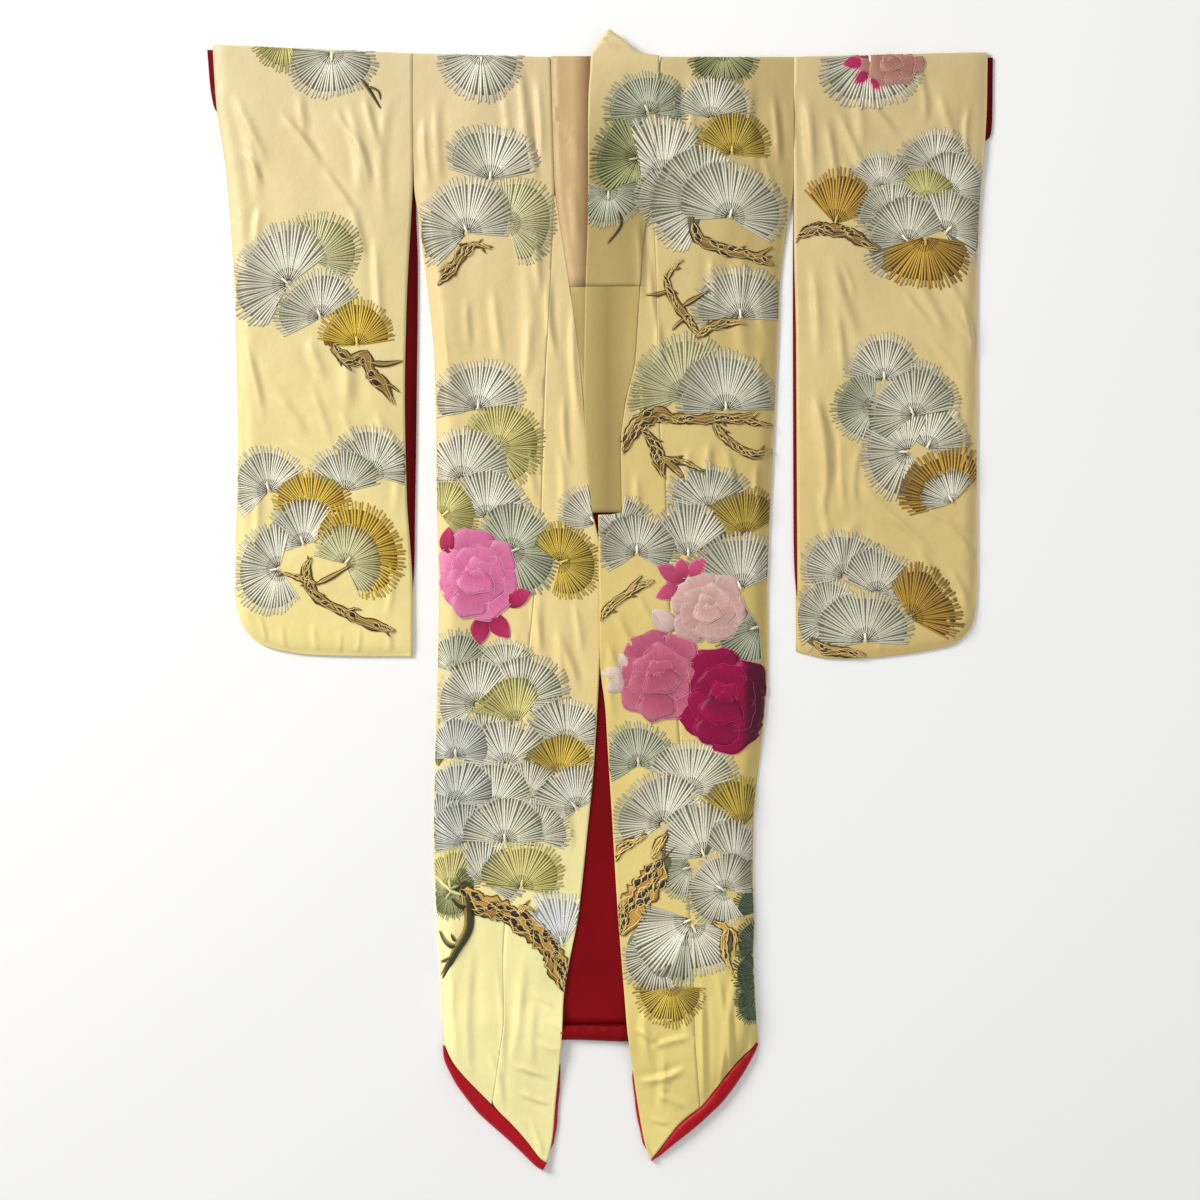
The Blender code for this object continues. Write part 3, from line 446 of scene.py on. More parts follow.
# The needlework is laid on the cloth, found by a ray from above. Hits below the lowest one are the back.
rays = {"from": 0.1, "lowest": 0.0024, "seam": 3.5}
groundPoints, groundFaces, groundOwner = [], [], []
for name in ("bodyRight", "overlapRight", "bodyLeft", "overlapLeft", "sleeveRight", "sleeveLeft",
             "overCollarRight", "collarBandRight", "overCollarLeft", "collarBandLeft"):
    mesh = clothPieces[name].data
    first = len(groundPoints)
    groundPoints += [vertex.co for vertex in mesh.vertices]
    groundFaces += [[first + index for index in polygon.vertices] for polygon in mesh.polygons]
    groundOwner += [name] * len(mesh.polygons)
groundTree = BVHTree.FromPolygons(groundPoints, groundFaces)


def groundAt(across, down, owners):
    above = Vector((*spot(across, down), rays["from"]))
    hit, normal, face, distance = groundTree.ray_cast(above, Vector((0, 0, -1)))
    if hit is None or groundOwner[face] not in owners or hit.z < rays["lowest"]:
        return None
    return hit.z


# The same, carried over a narrow seam between two panels
def clothAt(across, down, owners):
    ground = groundAt(across, down, owners)
    if ground is None:
        sides = [groundAt(across + reach, down, owners) for reach in (-rays["seam"], rays["seam"])]
        ground = None if None in sides else sum(sides) / 2
    return ground


def tonesOf(codes):
    return [Vector(hexColour(code)) for code in codes]


# Threads: the rib's tones in painted highlight and in painted shade, and the padding seen between them,
# darker partly as its own colour and partly as painted shade in the gaps
threadTones = {
    "silver": ("FFFAE6", "A8A586", "74735A"), "brightSilver": ("FFFFF8", "D2D2C4", "A4A494"),
    "greyGreen": ("E0E0C6", "868C68", "646A48"), "blueGrey": ("EAEADE", "92968A", "6C7062"),
    "paleGreen": ("F2EDBE", "ACA768", "8C8850"), "greenGold": ("F0E69A", "9A9040", "8A7E3A"),
    "gold": ("F6D64E", "A88010", "7A5C0A"), "brownGold": ("DDB040", "84600E", "5A4208"),
    "oliveGold": ("E8CA52", "8A7416", "64520E"), "green": ("C2C486", "5A6230", "454B26"),
    "darkGreen": ("7E926C", "263C22", "1C2E1A"),
}
threadTones = {name: tonesOf(codes) for name, codes in threadTones.items()}

# Fans: turn between ribs in radians, shares of the radius, and the rest in millimetres
fanSizes = {"ribTurn": 0.082, "ribWidth": 0.047, "rootWidth": 1.1, "tipReach": 2.0, "uneven": 3.2,
            "rimDrop": 0.2, "padReach": 0.86, "padLift": 0.5, "padDome": 0.8, "padTurn": 7.5,
            "layerLift": 0.4, "tuck": 5.0, "step": 3.0, "station": 10, "shortest": 6, "closest": 0.0004,
            "flatten": 0.62, "stalk": 17, "hole": 0.04, "denseFrom": 75, "denseOver": 150,
            "bare": 0.07, "run": 0.93, "ribStarts": (0.07, 0.26, 0.14, 0.26),
            "padRings": (0.07, 0.2, 0.33, 0.45, 0.57, 0.68, 0.79, 0.9, 1.0)}
# Painted glint on a rib by its direction: the brightest direction, the middle, the swing, and its own drift
paintedGlints = {"side": (70, 130), "middle": 0.64, "swing": 0.3, "drift": (-0.24, 0.16), "least": 0.1}
# Painted light on the threads: darker at the top and brighter towards the foot, with painted shade along the
# left front's side and about the hips
paintedShadeFall = {"side": (170, 260), "sideShade": 0.17, "frontSide": 310, "hipsShade": 0.14,
            "hips": {True: (420, 570), False: (720, 870)}, "legs": (880, 1130), "foot": 1400,
            "top": 0.86, "footGain": {True: 0.15, False: 0.26}}


# Place at a distance from another one; the angle is 0 to the right and grows upwards
def outFrom(place, angle, distance):
    return place[0] + distance * math.cos(angle), place[1] - distance * math.sin(angle)


# Reach of a fan's rim, as a share of its radius, from one end of its spread at -1 to the other at 1
def rimShare(fan, share):
    return 1 - fanSizes["rimDrop"] * share ** 4 + 0.05 * math.sin(5.2 * share + fan[1] * 0.7)


def inFan(fan, across, down, inside=0):
    kind, rootAcross, rootDown, radius, direction, spread = fan
    offAcross, offUp = across - rootAcross, rootDown - down
    distance = math.hypot(offAcross, offUp)
    if not fanSizes["hole"] * radius <= distance <= radius - inside:
        return False
    share = 2 * ((math.degrees(math.atan2(offUp, offAcross)) - direction + 180) % 360 - 180) / spread
    return abs(share) <= 1 and distance <= radius * rimShare(fan, share) - inside


# Every stitch takes a job: the cloths it may lie on, the fans under it, its mounds and strands, and rng
def overFans(job, across, down):
    return fanSizes["layerLift"] * sum(inFan(fan, across, down) for fan in job["under"])


# Share of a thread's tone left after the painted light and shade
def paintedThreadShade(across, down):
    onFront, onLeft = across < paintedShadeFall["frontSide"], across > 0
    side = 1 - paintedShadeFall["sideShade"] * float(rising(across, *paintedShadeFall["side"])) * onFront
    hips = float(rising(down, *paintedShadeFall["hips"][onFront]) * (1 - rising(down, *paintedShadeFall["legs"])))
    hips = 1 - paintedShadeFall["hipsShade"] * hips * onLeft
    foot = float(rising(down, 0, paintedShadeFall["foot"]))
    return (paintedShadeFall["top"] + paintedShadeFall["footGain"][onLeft] * foot) * side * hips


# Ovals that hide the fans below them: (across, down, half width, half height)
def inOval(oval, across, down):
    return ((across - oval[0]) / oval[2]) ** 2 + ((down - oval[1]) / oval[3]) ** 2 < 1


# Longest stretch of one spoke, in millimetres from the root, that lies on the panel in view
def visibleRun(job, fan, angle, reach, later=(), ovals=()):
    best, start = None, None
    steps = max(int(reach / fanSizes["step"]), 4)
    for step in range(steps + 1):
        distance = reach * (fanSizes["bare"] + fanSizes["run"] * step / steps)
        place = outFrom(fan[1:3], angle, distance)
        clear = clothAt(*place, job["owners"]) is not None
        clear = clear and not any(inFan(other, *place, fanSizes["tuck"]) for other in later)
        clear = clear and not any(inOval(oval, *place) for oval in ovals)
        if clear and start is None:
            start = distance
        if start is not None and (not clear or step == steps):
            end = distance if clear else distance - reach * fanSizes["run"] / steps
            if end > start and (best is None or end - start > best[1] - best[0]):
                best = (start, end)
            start = None
    return best


def setMoundPoint(job, vert, across, down, lift, tone, stitch):
    mounds, ground = job["mounds"], clothAt(across, down, job["owners"])
    if ground is None:
        mounds["lost"].append(vert)
        return
    vert.co = (*spot(across, down), ground + (lift + overFans(job, across, down)) / 1000)
    vert[mounds["tone"]] = (*tone, 1)
    vert[mounds["stitch"]] = (stitch[0] / 1000, stitch[1] / 1000, 0)


# A small raised field: a grid whose u runs from 0 to 1 along it and v from -1 to 1 across it
def mound(job, segments, shape):
    bm = job["mounds"]["bm"]
    first = len(bm.verts)
    bmesh.ops.create_grid(bm, x_segments=segments[0], y_segments=segments[1], size=1)
    bm.verts.ensure_lookup_table()
    for vert in bm.verts[first:]:
        setMoundPoint(job, vert, *shape((vert.co.x + 1) / 2, vert.co.y))


# A strand of one colour along a route, laid on the cloth and on the fans below it
def lay(job, route, widths, tone, lift):
    points, kept = [], []
    for (across, down), width in zip(route, np.broadcast_to(widths, len(route))):
        ground, place = clothAt(across, down, job["owners"]), spot(across, down)
        if ground is None or points and math.dist(points[-1][:2], place) < fanSizes["closest"]:
            continue
        points.append((*place, ground + (lift + overFans(job, across, down)) / 1000))
        kept.append(float(width))
    if len(points) > 2:
        kept[0], kept[-1] = 0, 0
        job["strands"].append((points, kept, [(*tone, 1)] * len(points)))


# Padding of a fan: a line of points spun round the root, then laid on the cloth
def fanPad(job, fan):
    kind, rootAcross, rootDown, radius, direction, spread = fan
    bm, runs, tone = job["mounds"]["bm"], {}, threadTones[kind][2]
    first = len(bm.verts)
    line = [bm.verts.new((ring, 0, 0)) for ring in fanSizes["padRings"]]
    edges = [bm.edges.new(pair) for pair in zip(line, line[1:])]
    bmesh.ops.spin(bm, geom=line + edges, cent=(0, 0, 0), axis=(0, 0, 1), dvec=(0, 0, 0), use_merge=False,
                   use_duplicate=False, angle=math.radians(spread),
                   steps=max(round(spread / fanSizes["padTurn"]), 4))
    bm.verts.ensure_lookup_table()
    for vert in bm.verts[first:]:
        turn = (math.atan2(vert.co.y, vert.co.x) + 0.01) % (2 * math.pi) - 0.01
        ring = math.hypot(vert.co.x, vert.co.y)
        share = 2 * math.degrees(turn) / spread - 1
        angle = math.radians(direction) + turn - math.radians(spread) / 2
        key = round(turn, 3)
        if key not in runs:
            runs[key] = visibleRun(job, fan, angle, radius * fanSizes["padReach"] * rimShare(fan, share))
        if runs[key] is None:
            job["mounds"]["lost"].append(vert)
            continue
        start, end = runs[key]
        distance = start + (end - start) * (ring - fanSizes["bare"]) / fanSizes["run"]
        dome = fanSizes["padDome"] * math.sin(math.pi * ring) * (1 - share ** 2) - 0.3 * (ring > 0.99)
        setMoundPoint(job, vert, *outFrom(fan[1:3], angle, distance), fanSizes["padLift"] + dome,
                      tone * (0.72 + 0.3 * ring), (distance, turn * radius))


# Ribs of a fan: single threads that widen from the root over the padding to the rim
def fanRibs(job, fan, later, ovals):
    kind, rootAcross, rootDown, radius, direction, spread = fan
    light, dark, pad = threadTones[kind]
    rng = job["rng"]
    denser = 1 + max(radius - fanSizes["denseFrom"], 0) / fanSizes["denseOver"]
    count = max(round(math.radians(spread) / fanSizes["ribTurn"] * denser), 5)
    brightSide = math.radians(rng.uniform(*paintedGlints["side"]))
    for number in range(count + 1):
        share = 2 * number / count - 1
        angle = math.radians(direction + share * spread / 2 + rng.uniform(-1, 1))
        full = radius * rimShare(fan, share)
        reach = full + fanSizes["tipReach"] + rng.uniform(-1, 1) * fanSizes["uneven"]
        run = visibleRun(job, fan, angle, reach, later, ovals)
        if run is None:
            continue
        start, end = max(run[0], radius * fanSizes["ribStarts"][number % 4]), run[1]
        if end - start < fanSizes["shortest"]:
            continue
        # Painted glint: the rib's tone moves between its painted-shade and painted-highlight tones by its
        # direction
        glint = paintedGlints["middle"] + paintedGlints["swing"] * math.cos(2 * (angle - brightSide))
        glint = min(max(glint + rng.uniform(*paintedGlints["drift"]), paintedGlints["least"]), 1)
        tone = dark.lerp(light, glint) * paintedThreadShade(rootAcross, rootDown)
        stations = max(math.ceil((end - start) / fanSizes["station"]), 3)
        points, widths, tones = [], [], []
        for part in (0, 0.03, *(0.03 + 0.91 * (step + 1) / stations for step in range(stations)), 0.98, 1):
            distance = start + (end - start) * part
            across, down = outFrom(fan[1:3], angle, distance)
            ground = clothAt(across, down, job["owners"])
            if ground is None:
                ground = points[-1][2] if points else 0.01
            onPad = 1 - float(rising(distance / full - fanSizes["padReach"], -0.08, 0.02))
            lift = overFans(job, across, down) + 0.3
            lift += onPad * (fanSizes["padLift"] + fanSizes["padDome"] * (1 - share ** 2))
            points.append((*spot(across, down), ground + lift / 1000))
            away = min(distance / radius, 1)
            root, tip = fanSizes["rootWidth"], fanSizes["ribWidth"] * radius
            width = root + (tip - root) * away ** 0.8
            widths.append(width / 2 * {0: 0, 1: 0, 0.03: 0.7, 0.98: 0.7}.get(part, 1))
            # Painted highlight near the root, and tips darkened towards the padding tone, partly the thread's
            # own dark ends and partly painted shade
            shade = tone.lerp(light, 0.4 * (1 - away)).lerp(pad, max(away - 0.7, 0) * 1.2)
            tones.append((*[min(value, 0.97) * (0.8 if part > 0.95 else 1) for value in shade], 1))
        job["strands"].append((points, widths, tones))


# Short pale stalk over the root of a fan
def fanStalk(job, fan):
    reaches = np.linspace(-2, fanSizes["stalk"], 6)
    route = [outFrom(fan[1:3], math.radians(fan[4]), reach) for reach in reaches]
    lay(job, route, [0, 1.5, 2.2, 2.3, 1.5, 0], threadTones[fan[0]][0] * 1.05, lift=2.8)


# Flower silks: deep, middle and light part of a petal, and the fine line round it
petalTones = {
    "pink": ("B0487A", "DA6E9C", "F09AC0", "F8BAD6"), "midPink": ("8C3450", "BC5672", "D67F95", "E9A3B2"),
    "magenta": ("3A0014", "8C003C", "B20052", "CE3078"), "palePink": ("A27A72", "CA9E95", "E0BEB4", "F0DAD2"),
    "salmon": ("845046", "AC7464", "C69888", "DAB8AA"), "rose": ("76102F", "B02656", "CC4474", "E486A6"),
    "paleRose": ("8E2848", "C0466E", "D87094", "EEA4BA"),
    "paleLeaf": ("BC9A94", "DCC0B4", "EAD8CC", "F6EAE2"),
}
petalTones = {name: tonesOf(codes) for name, codes in petalTones.items()}
# Painted shade: petals go dark past this line, where the left front drops to its side, and their lighter tips
# are dimmed there
petalShade = {"across": (232, 248), "lightTo": 238, "frontSide": 300, "dark": 0.72, "dimLight": 0.25}

# Petals of a peony, as shares of its half size: direction, start, length, width, and its layer
peonyPetals = [
    (212, 0.3, 0.74, 0.86, 0), (292, 0.34, 0.66, 0.92, 0), (345, 0.26, 0.74, 0.8, 0),
    (152, 0.26, 0.74, 0.84, 0), (98, 0.24, 0.76, 0.9, 0), (40, 0.28, 0.72, 0.8, 0),
    (252, 0.16, 0.7, 0.74, 1), (322, 0.14, 0.62, 0.66, 1), (18, 0.1, 0.6, 0.62, 1),
    (188, 0.12, 0.62, 0.68, 1), (132, 0.08, 0.6, 0.62, 1), (74, 0.06, 0.58, 0.58, 1),
    (204, -0.1, 0.5, 0.42, 2), (110, -0.12, 0.5, 0.36, 2), (56, -0.12, 0.48, 0.34, 2),
    (152, -0.14, 0.4, 0.3, 2), (330, -0.16, 0.5, 0.4, 2), (84, -0.2, 0.34, 0.26, 3),
    (268, -0.12, 0.5, 0.74, 3)]


# One petal, round at its end, or one pointed leaf
def petal(job, base, length, width, turn, tones, lift, pointed=False):
    along, aside = math.cos(math.radians(turn)), math.sin(math.radians(turn))
    deep, middle, light, line = tones
    wave, shade = job["rng"].uniform(0, 6.28), job["rng"].uniform(0.9, 1.08)

    def outline(u, v):
        u = min(max(u, 0), 1)
        if pointed:
            half, far = width / 2 * max(math.sin(math.pi * u ** 0.85), 0) ** 0.8, length * u
        else:
            half = width / 2 * (0.34 + 0.66 * math.sin(math.pi / 2 * u ** 0.8))
            ruffle = 0.05 * math.sin(2.6 * v + wave) + 0.035 * math.sin(6 * v + wave)
            far = length * u * (1 - 0.34 * v * v + ruffle * u)
        return base[0] + far * along - v * half * aside, base[1] - far * aside - v * half * along

    def shape(u, v):
        across, down = outline(u, v)
        onFront = across < petalShade["frontSide"]
        # Painted shade on the left front's side, where it falls away from the light
        dark = float(rising(across, *petalShade["across"])) * onFront
        tone = deep.lerp(middle, min(u * 2.4, 1)) * (1 - petalShade["dark"] * dark)
        dim = petalShade["dimLight"] if onFront and across > petalShade["lightTo"] else 1
        tone = tone.lerp(light * dim, max(u - 0.5, 0) * 1.5 * (0.6 + 0.4 * math.sin(wave + v)))
        rise = 1.4 * (1 - v * v) * math.sin(math.pi * min(max(u, 0), 1)) + 0.6 * u
        return across, down, lift + rise, tone * shade, (length * u, v * width / 2)

    mound(job, (9, 7), shape)
    rim = [outline(u, 1) for u in np.linspace(0.3, 0.94, 5)]
    rim += [outline(1, v) for v in np.linspace(1, -1, 3 if pointed else 9)]
    rim += [outline(u, -1) for u in np.linspace(0.94, 0.3, 5)]
    lay(job, rim, 0.45, line, lift=lift + 0.7)


def peony(job, flower):
    kind, across, down, width, height, turn = flower
    for direction, start, length, wide, layer in peonyPetals:
        turned = direction + turn + job["rng"].uniform(-9, 9)
        angle = math.radians(turned)
        halfSize = 1 / math.hypot(math.cos(angle) / (width / 2), math.sin(angle) / (height / 2))
        start += job["rng"].uniform(-0.04, 0.04)
        petal(job, outFrom((across, down), angle, start * halfSize), length * halfSize, wide * halfSize * 1.1,
              turned, petalTones[kind], lift=1.0 + 0.8 * layer)


# Boughs: a gold ground with a dark outline, gold lines along it and dark eyes rimmed in pale gold
boughTones = {name: Vector(hexColour(code)) for name, code in (
    ("ground", "96702E"), ("gold", "D2A24A"), ("pale", "ECCE7A"), ("line", "3A2612"), ("eye", "2E1A26"),
    ("twig", "3C3A1C"), ("twigGold", "9C8638"))}
boughSizes = {"step": 6, "twigStep": 5, "eyeShare": 0.56, "eyeLong": 17, "eyeWide": 0.42, "widest": 9,
              "spurEvery": 6, "spurLong": 14}
# Narrowest bough with eyes, with side lines, with eyes off its middle, with dark lines, without spurs,
# and with eyes in pairs
boughWidths = {"eyes": 9, "sideLines": 12, "offMiddle": 16, "darkLines": 20, "bare": 24, "pairs": 30}


# Rounded route through the points of a row, which holds the width, then across and down of each point
def routeThrough(row, step):
    points = list(zip(row[1::2], row[2::2]))
    ends = [points[0], *points, points[-1]]
    route = []
    for a, b, c, d in zip(ends, ends[1:], ends[2:], ends[3:]):
        for share in np.linspace(0, 1, max(int(math.dist(b, c) / step), 2), endpoint=False):
            route.append(tuple(0.5 * (2 * b[i] + (c[i] - a[i]) * share
                                      + (2 * a[i] - 5 * b[i] + 4 * c[i] - d[i]) * share ** 2
                                      + (3 * b[i] - a[i] - 3 * c[i] + d[i]) * share ** 3) for i in (0, 1)))
    return route + [points[-1]]


def besideRoute(route, index, off):
    before, after = route[max(index - 1, 0)], route[min(index + 1, len(route) - 1)]
    length = math.dist(before, after) or 1
    return (route[index][0] - (after[1] - before[1]) / length * off,
            route[index][1] + (after[0] - before[0]) / length * off)


# Long pointed eye on a bough, with a pale rim
def eye(job, centre, long, wide, turn):
    along, aside = math.cos(turn), math.sin(turn)

    def outline(u, v):
        far, side = (u - 0.5) * long, v * wide / 2 * math.sin(math.pi * min(max(u, 0), 1)) ** 0.8
        return centre[0] + far * along - side * aside, centre[1] + far * aside + side * along

    def shape(u, v):
        return *outline(u, v), 2.5 + 0.7 * (1 - v * v), boughTones["eye"], (u * long, v * wide / 2)

    mound(job, (6, 2), shape)
    for side in (-1, 1):
        lay(job, [outline(u, side * 1.25) for u in np.linspace(0, 1, 7)], 0.75, boughTones["pale"], lift=2.9)


def bough(job, row):
    rng, width, route = job["rng"], row[0], routeThrough(row, boughSizes["step"])
    last = len(route) - 1
    # Painted light: boughs lower on the robe are paler and higher ones darker, as the threads are
    paler = 0.62 + 0.58 * float(rising(row[2], 650, 1350))
    half = [width / 2 * min(0.35 + i / 4, 1, 0.1 + (last - i) / 5) * rng.uniform(0.74, 1.24)
            for i in range(last + 1)]
    edges = [[besideRoute(route, i, side * half[i]) for i in range(last + 1)] for side in (-1, 1)]

    def shape(u, v):
        index, share = round(u * last), (v + 1) / 2
        low, high = edges[0][index], edges[1][index]
        tone = boughTones["gold"].lerp(boughTones["ground"], share) * paler
        return (low[0] + (high[0] - low[0]) * share, low[1] + (high[1] - low[1]) * share,
                1.0 + 1.3 * (1 - v * v), tone, (u * last * boughSizes["step"], v * width / 2))

    # A thorn that starts beside the middle line and runs out at an angle
    def thorn(index, off, angle, long, widths, tone, lift):
        foot = besideRoute(route, index, off)
        lay(job, [outFrom(foot, -angle, reach) for reach in np.linspace(0, long, 4)], widths, tone, lift)

    mound(job, (last, 4), shape)
    for side in edges:
        lay(job, side, 0.9, boughTones["line"], lift=1.4)
    for off, kind in ((-0.6, "pale"), (-0.25, "line"), (0.1, "pale"), (0.4, "line"), (0.7, "pale")):
        extra = off != 0.1 and width < boughWidths["sideLines"]
        if extra or kind == "line" and width < boughWidths["darkLines"]:
            continue
        drift, bends = rng.uniform(0, 6.28), rng.uniform(0.6, 1.0)
        line = [besideRoute(route, i, share * (off + 0.24 * math.sin(drift + bends * i)))
                for i, share in enumerate(half)]
        lay(job, line, 1.0 if kind == "pale" else 0.7, boughTones[kind] * paler, lift=2.6)
    for side in (-1, 1):
        back = math.atan2(route[0][1] - route[1][1], route[0][0] - route[1][0]) + side * rng.uniform(0.2, 0.5)
        thorn(1, side * half[1] * 0.5, back, width, [0, 1.9, 1.4, 0], boughTones["ground"] * 0.7, lift=1.6)
    if width < boughWidths["eyes"]:
        return
    for index in np.repeat(range(1, last), 2 if width > boughWidths["pairs"] else 1).tolist():
        if rng.random() > boughSizes["eyeShare"]:
            continue
        after = route[min(index + 1, last)]
        turn = math.atan2(after[1] - route[index - 1][1], after[0] - route[index - 1][0])
        off = 0.7 if width > boughWidths["offMiddle"] else 0.25
        centre = besideRoute(route, index, rng.uniform(-off, off) * half[index])
        long = boughSizes["eyeLong"] * rng.uniform(0.7, 1.3)
        wide = min(half[index] * 2 * boughSizes["eyeWide"], boughSizes["widest"]) * rng.uniform(0.8, 1.2)
        eye(job, centre, long, wide, turn + rng.uniform(-0.5, 0.5))
        if index % boughSizes["spurEvery"] == 3 and width < boughWidths["bare"]:
            side = rng.choice((-1, 1))
            away = turn + side * rng.uniform(0.5, 0.9)
            thorn(index, side * half[index] * 0.7, away, boughSizes["spurLong"], [0, 2.4, 1.6, 0],
                  boughTones["ground"] * paler, lift=1.5)


# Twig: a dark stroke with a gold one beside it, both running out to a point
def twig(job, row):
    width, route = row[0], routeThrough(row, boughSizes["twigStep"])
    last = len(route) - 1
    swell = [math.sin(math.pi * (i / last) ** 0.6) ** 0.7 * width / 2 for i in range(last)] + [0]
    lay(job, route, swell, boughTones["twig"], lift=1.2)
    gold = [besideRoute(route, i, 0.3 * width) for i in range(last + 1)]
    lay(job, gold, [value * 0.45 for value in swell], boughTones["twigGold"], lift=1.9)


# Strands become one curve with round bevels, then a mesh whose rings are pressed a little flat
def strandPiece(name, strands, material):
    curve = bpy.data.curves.new(name, "CURVE")
    curve.dimensions = "3D"
    curve.bevel_depth = 0.001
    curve.bevel_resolution = 0
    curve.twist_mode = "Z_UP"
    for points, widths, tones in strands:
        spline = curve.splines.new("POLY")
        spline.points.add(len(points) - 1)
        spline.points.foreach_set("co", [value for point in points for value in (*point, 1)])
        spline.points.foreach_set("radius", widths)
    mesh = bakedMesh(addObject(name + "_curve", curve))
    total = sum(len(points) for points, widths, tones in strands)
    ring = len(mesh.vertices) // total
    places = np.empty(len(mesh.vertices) * 3)
    mesh.vertices.foreach_get("co", places)
    heights = places.reshape(total, ring, 3)[:, :, 2:]
    middle = heights.mean(axis=1, keepdims=True)
    heights[:] = middle + (heights - middle) * fanSizes["flatten"]
    mesh.vertices.foreach_set("co", places)
    tone = mesh.attributes.new("tone", "FLOAT_COLOR", "POINT")
    values = np.repeat(np.array([value for strand in strands for value in strand[2]]), ring, axis=0)
    tone.data.foreach_set("color", values.ravel())
    bm = bmesh.new()
    bm.from_mesh(mesh)
    bmesh.ops.remove_doubles(bm, verts=bm.verts, dist=0.000002)
    bmesh.ops.recalc_face_normals(bm, faces=bm.faces)
    bm.to_mesh(mesh)
    bm.free()
    return addPiece(name, mesh, material)


# Mounds share one mesh; each point carries its colour and its place along the stitches
def newMounds():
    bm = bmesh.new()
    return {"bm": bm, "lost": [], "tone": bm.verts.layers.float_color.new("tone"),
            "stitch": bm.verts.layers.float_vector.new("stitch")}


def moundPiece(name, mounds, material):
    bm = mounds["bm"]
    bmesh.ops.delete(bm, geom=list(set(mounds["lost"])), context="VERTS")
    bmesh.ops.remove_doubles(bm, verts=bm.verts, dist=0.00001)
    for face in bm.faces:
        face.normal_update()
        if face.normal.z < 0:
            face.normal_flip()
    mesh = bpy.data.meshes.new(name)
    bm.to_mesh(mesh)
    bm.free()
    piece = addPiece(name, mesh, material)
    wall = piece.modifiers.new("wall", "SOLIDIFY")
    wall.thickness = 0.001
    wall.offset = -1
    return piece


# Thread material: colour from the strand or the mound, with fine wraps or stitches in the bump
threads = {"streaks": [(0.3, (0.78, 0.78, 0.78)), (0.7, (1.12, 1.12, 1.12))], "bump": 0.5, "deep": 0.0004}


def threadMaterial(name, stitched, scale, roughness, metallic, sheen, specular):
    material, tree, shader = newMaterial(name)
    tone = addNode(tree, "Attribute", (-900, 200), attribute_name="tone").outputs["Color"]
    if stitched:
        place = addNode(tree, "Attribute", (-1300, -200), attribute_name="stitch").outputs["Vector"]
    else:
        place = addNode(tree, "TexCoord", (-1300, -200)).outputs["Object"]
    fibres = addNoise(tree, (-900, -200), stretch(tree, (-1100, -200), place, scale), 1, 2)
    streaks = colourRamp(tree, (-700, -100), fibres, threads["streaks"])
    setSockets(tree, shader, {
        "Base Color": multiply(tree, (-400, 150), 1.0, tone, streaks),
        "Normal": addBump(tree, (-400, -250), fibres, threads["bump"], threads["deep"]),
        "Roughness": roughness, "Metallic": metallic, "Sheen Weight": sheen, "Specular IOR Level": specular})
    return material


metalThread = threadMaterial("metalThread", False, (700, 700, 700), 0.42, 0.15, 0.1, 0.5)
silkThread = threadMaterial("silkThread", True, (45, 900, 45), 0.45, 0.0, 0.06, 0.22)

# Fans of pine needles: thread, root (across, down), radius, direction (0 is to the right, 90 is up) and
# spread. Boughs and twigs: width, then across and down of each point. Peonies: silk, middle, width, height
# and turn. Leaves: silk, root, length, width and turn.
panels = {}
panels["sleeveRight"] = {
    "on": "sleeveRight", "owners": {"sleeveRight"},
    "fans": [
        ("greenGold", -520, -28, 62, 270, 160), ("silver", -443, 2, 78, 270, 200),
        ("paleGreen", -472, 346, 82, 60, 180), ("silver", -514, 385, 100, 140, 205),
        ("silver", -461, 441, 80, 112, 190), ("gold", -401, 486, 74, 95, 170),
        ("silver", -377, 698, 78, 82, 200), ("silver", -421, 728, 72, 105, 180),
        ("silver", -546, 727, 72, 105, 240), ("gold", -477, 764, 72, 93, 178),
        ("silver", -489, 816, 78, 110, 170), ("silver", -530, 855, 78, 190, 230),
        ("gold", -405, 832, 84, 45, 250), ("paleGreen", -421, 847, 66, 50, 230)],
    "boughs": [
        (19, -441, 489, -413, 511, -389, 505, -377, 533, -357, 553, -342, 581),
        (8, -385, 513, -357, 517, -325, 511), (8, -361, 549, -346, 552, -331, 563),
        (8, -444, 493, -430, 506, -409, 529),
        (16, -481, 842, -485, 862, -473, 895, -453, 911, -421, 927, -389, 943, -337, 957),
        (9, -466, 880, -501, 869, -526, 861), (8, -468, 880, -441, 867, -413, 850),
        (8, -421, 926, -406, 921, -393, 923)],
    "twigs": [(6, -394, 46, -376, 72, -361, 96), (4, -384, 58, -366, 66, -362, 82)],
    "peonies": [],
    "leaves": []}
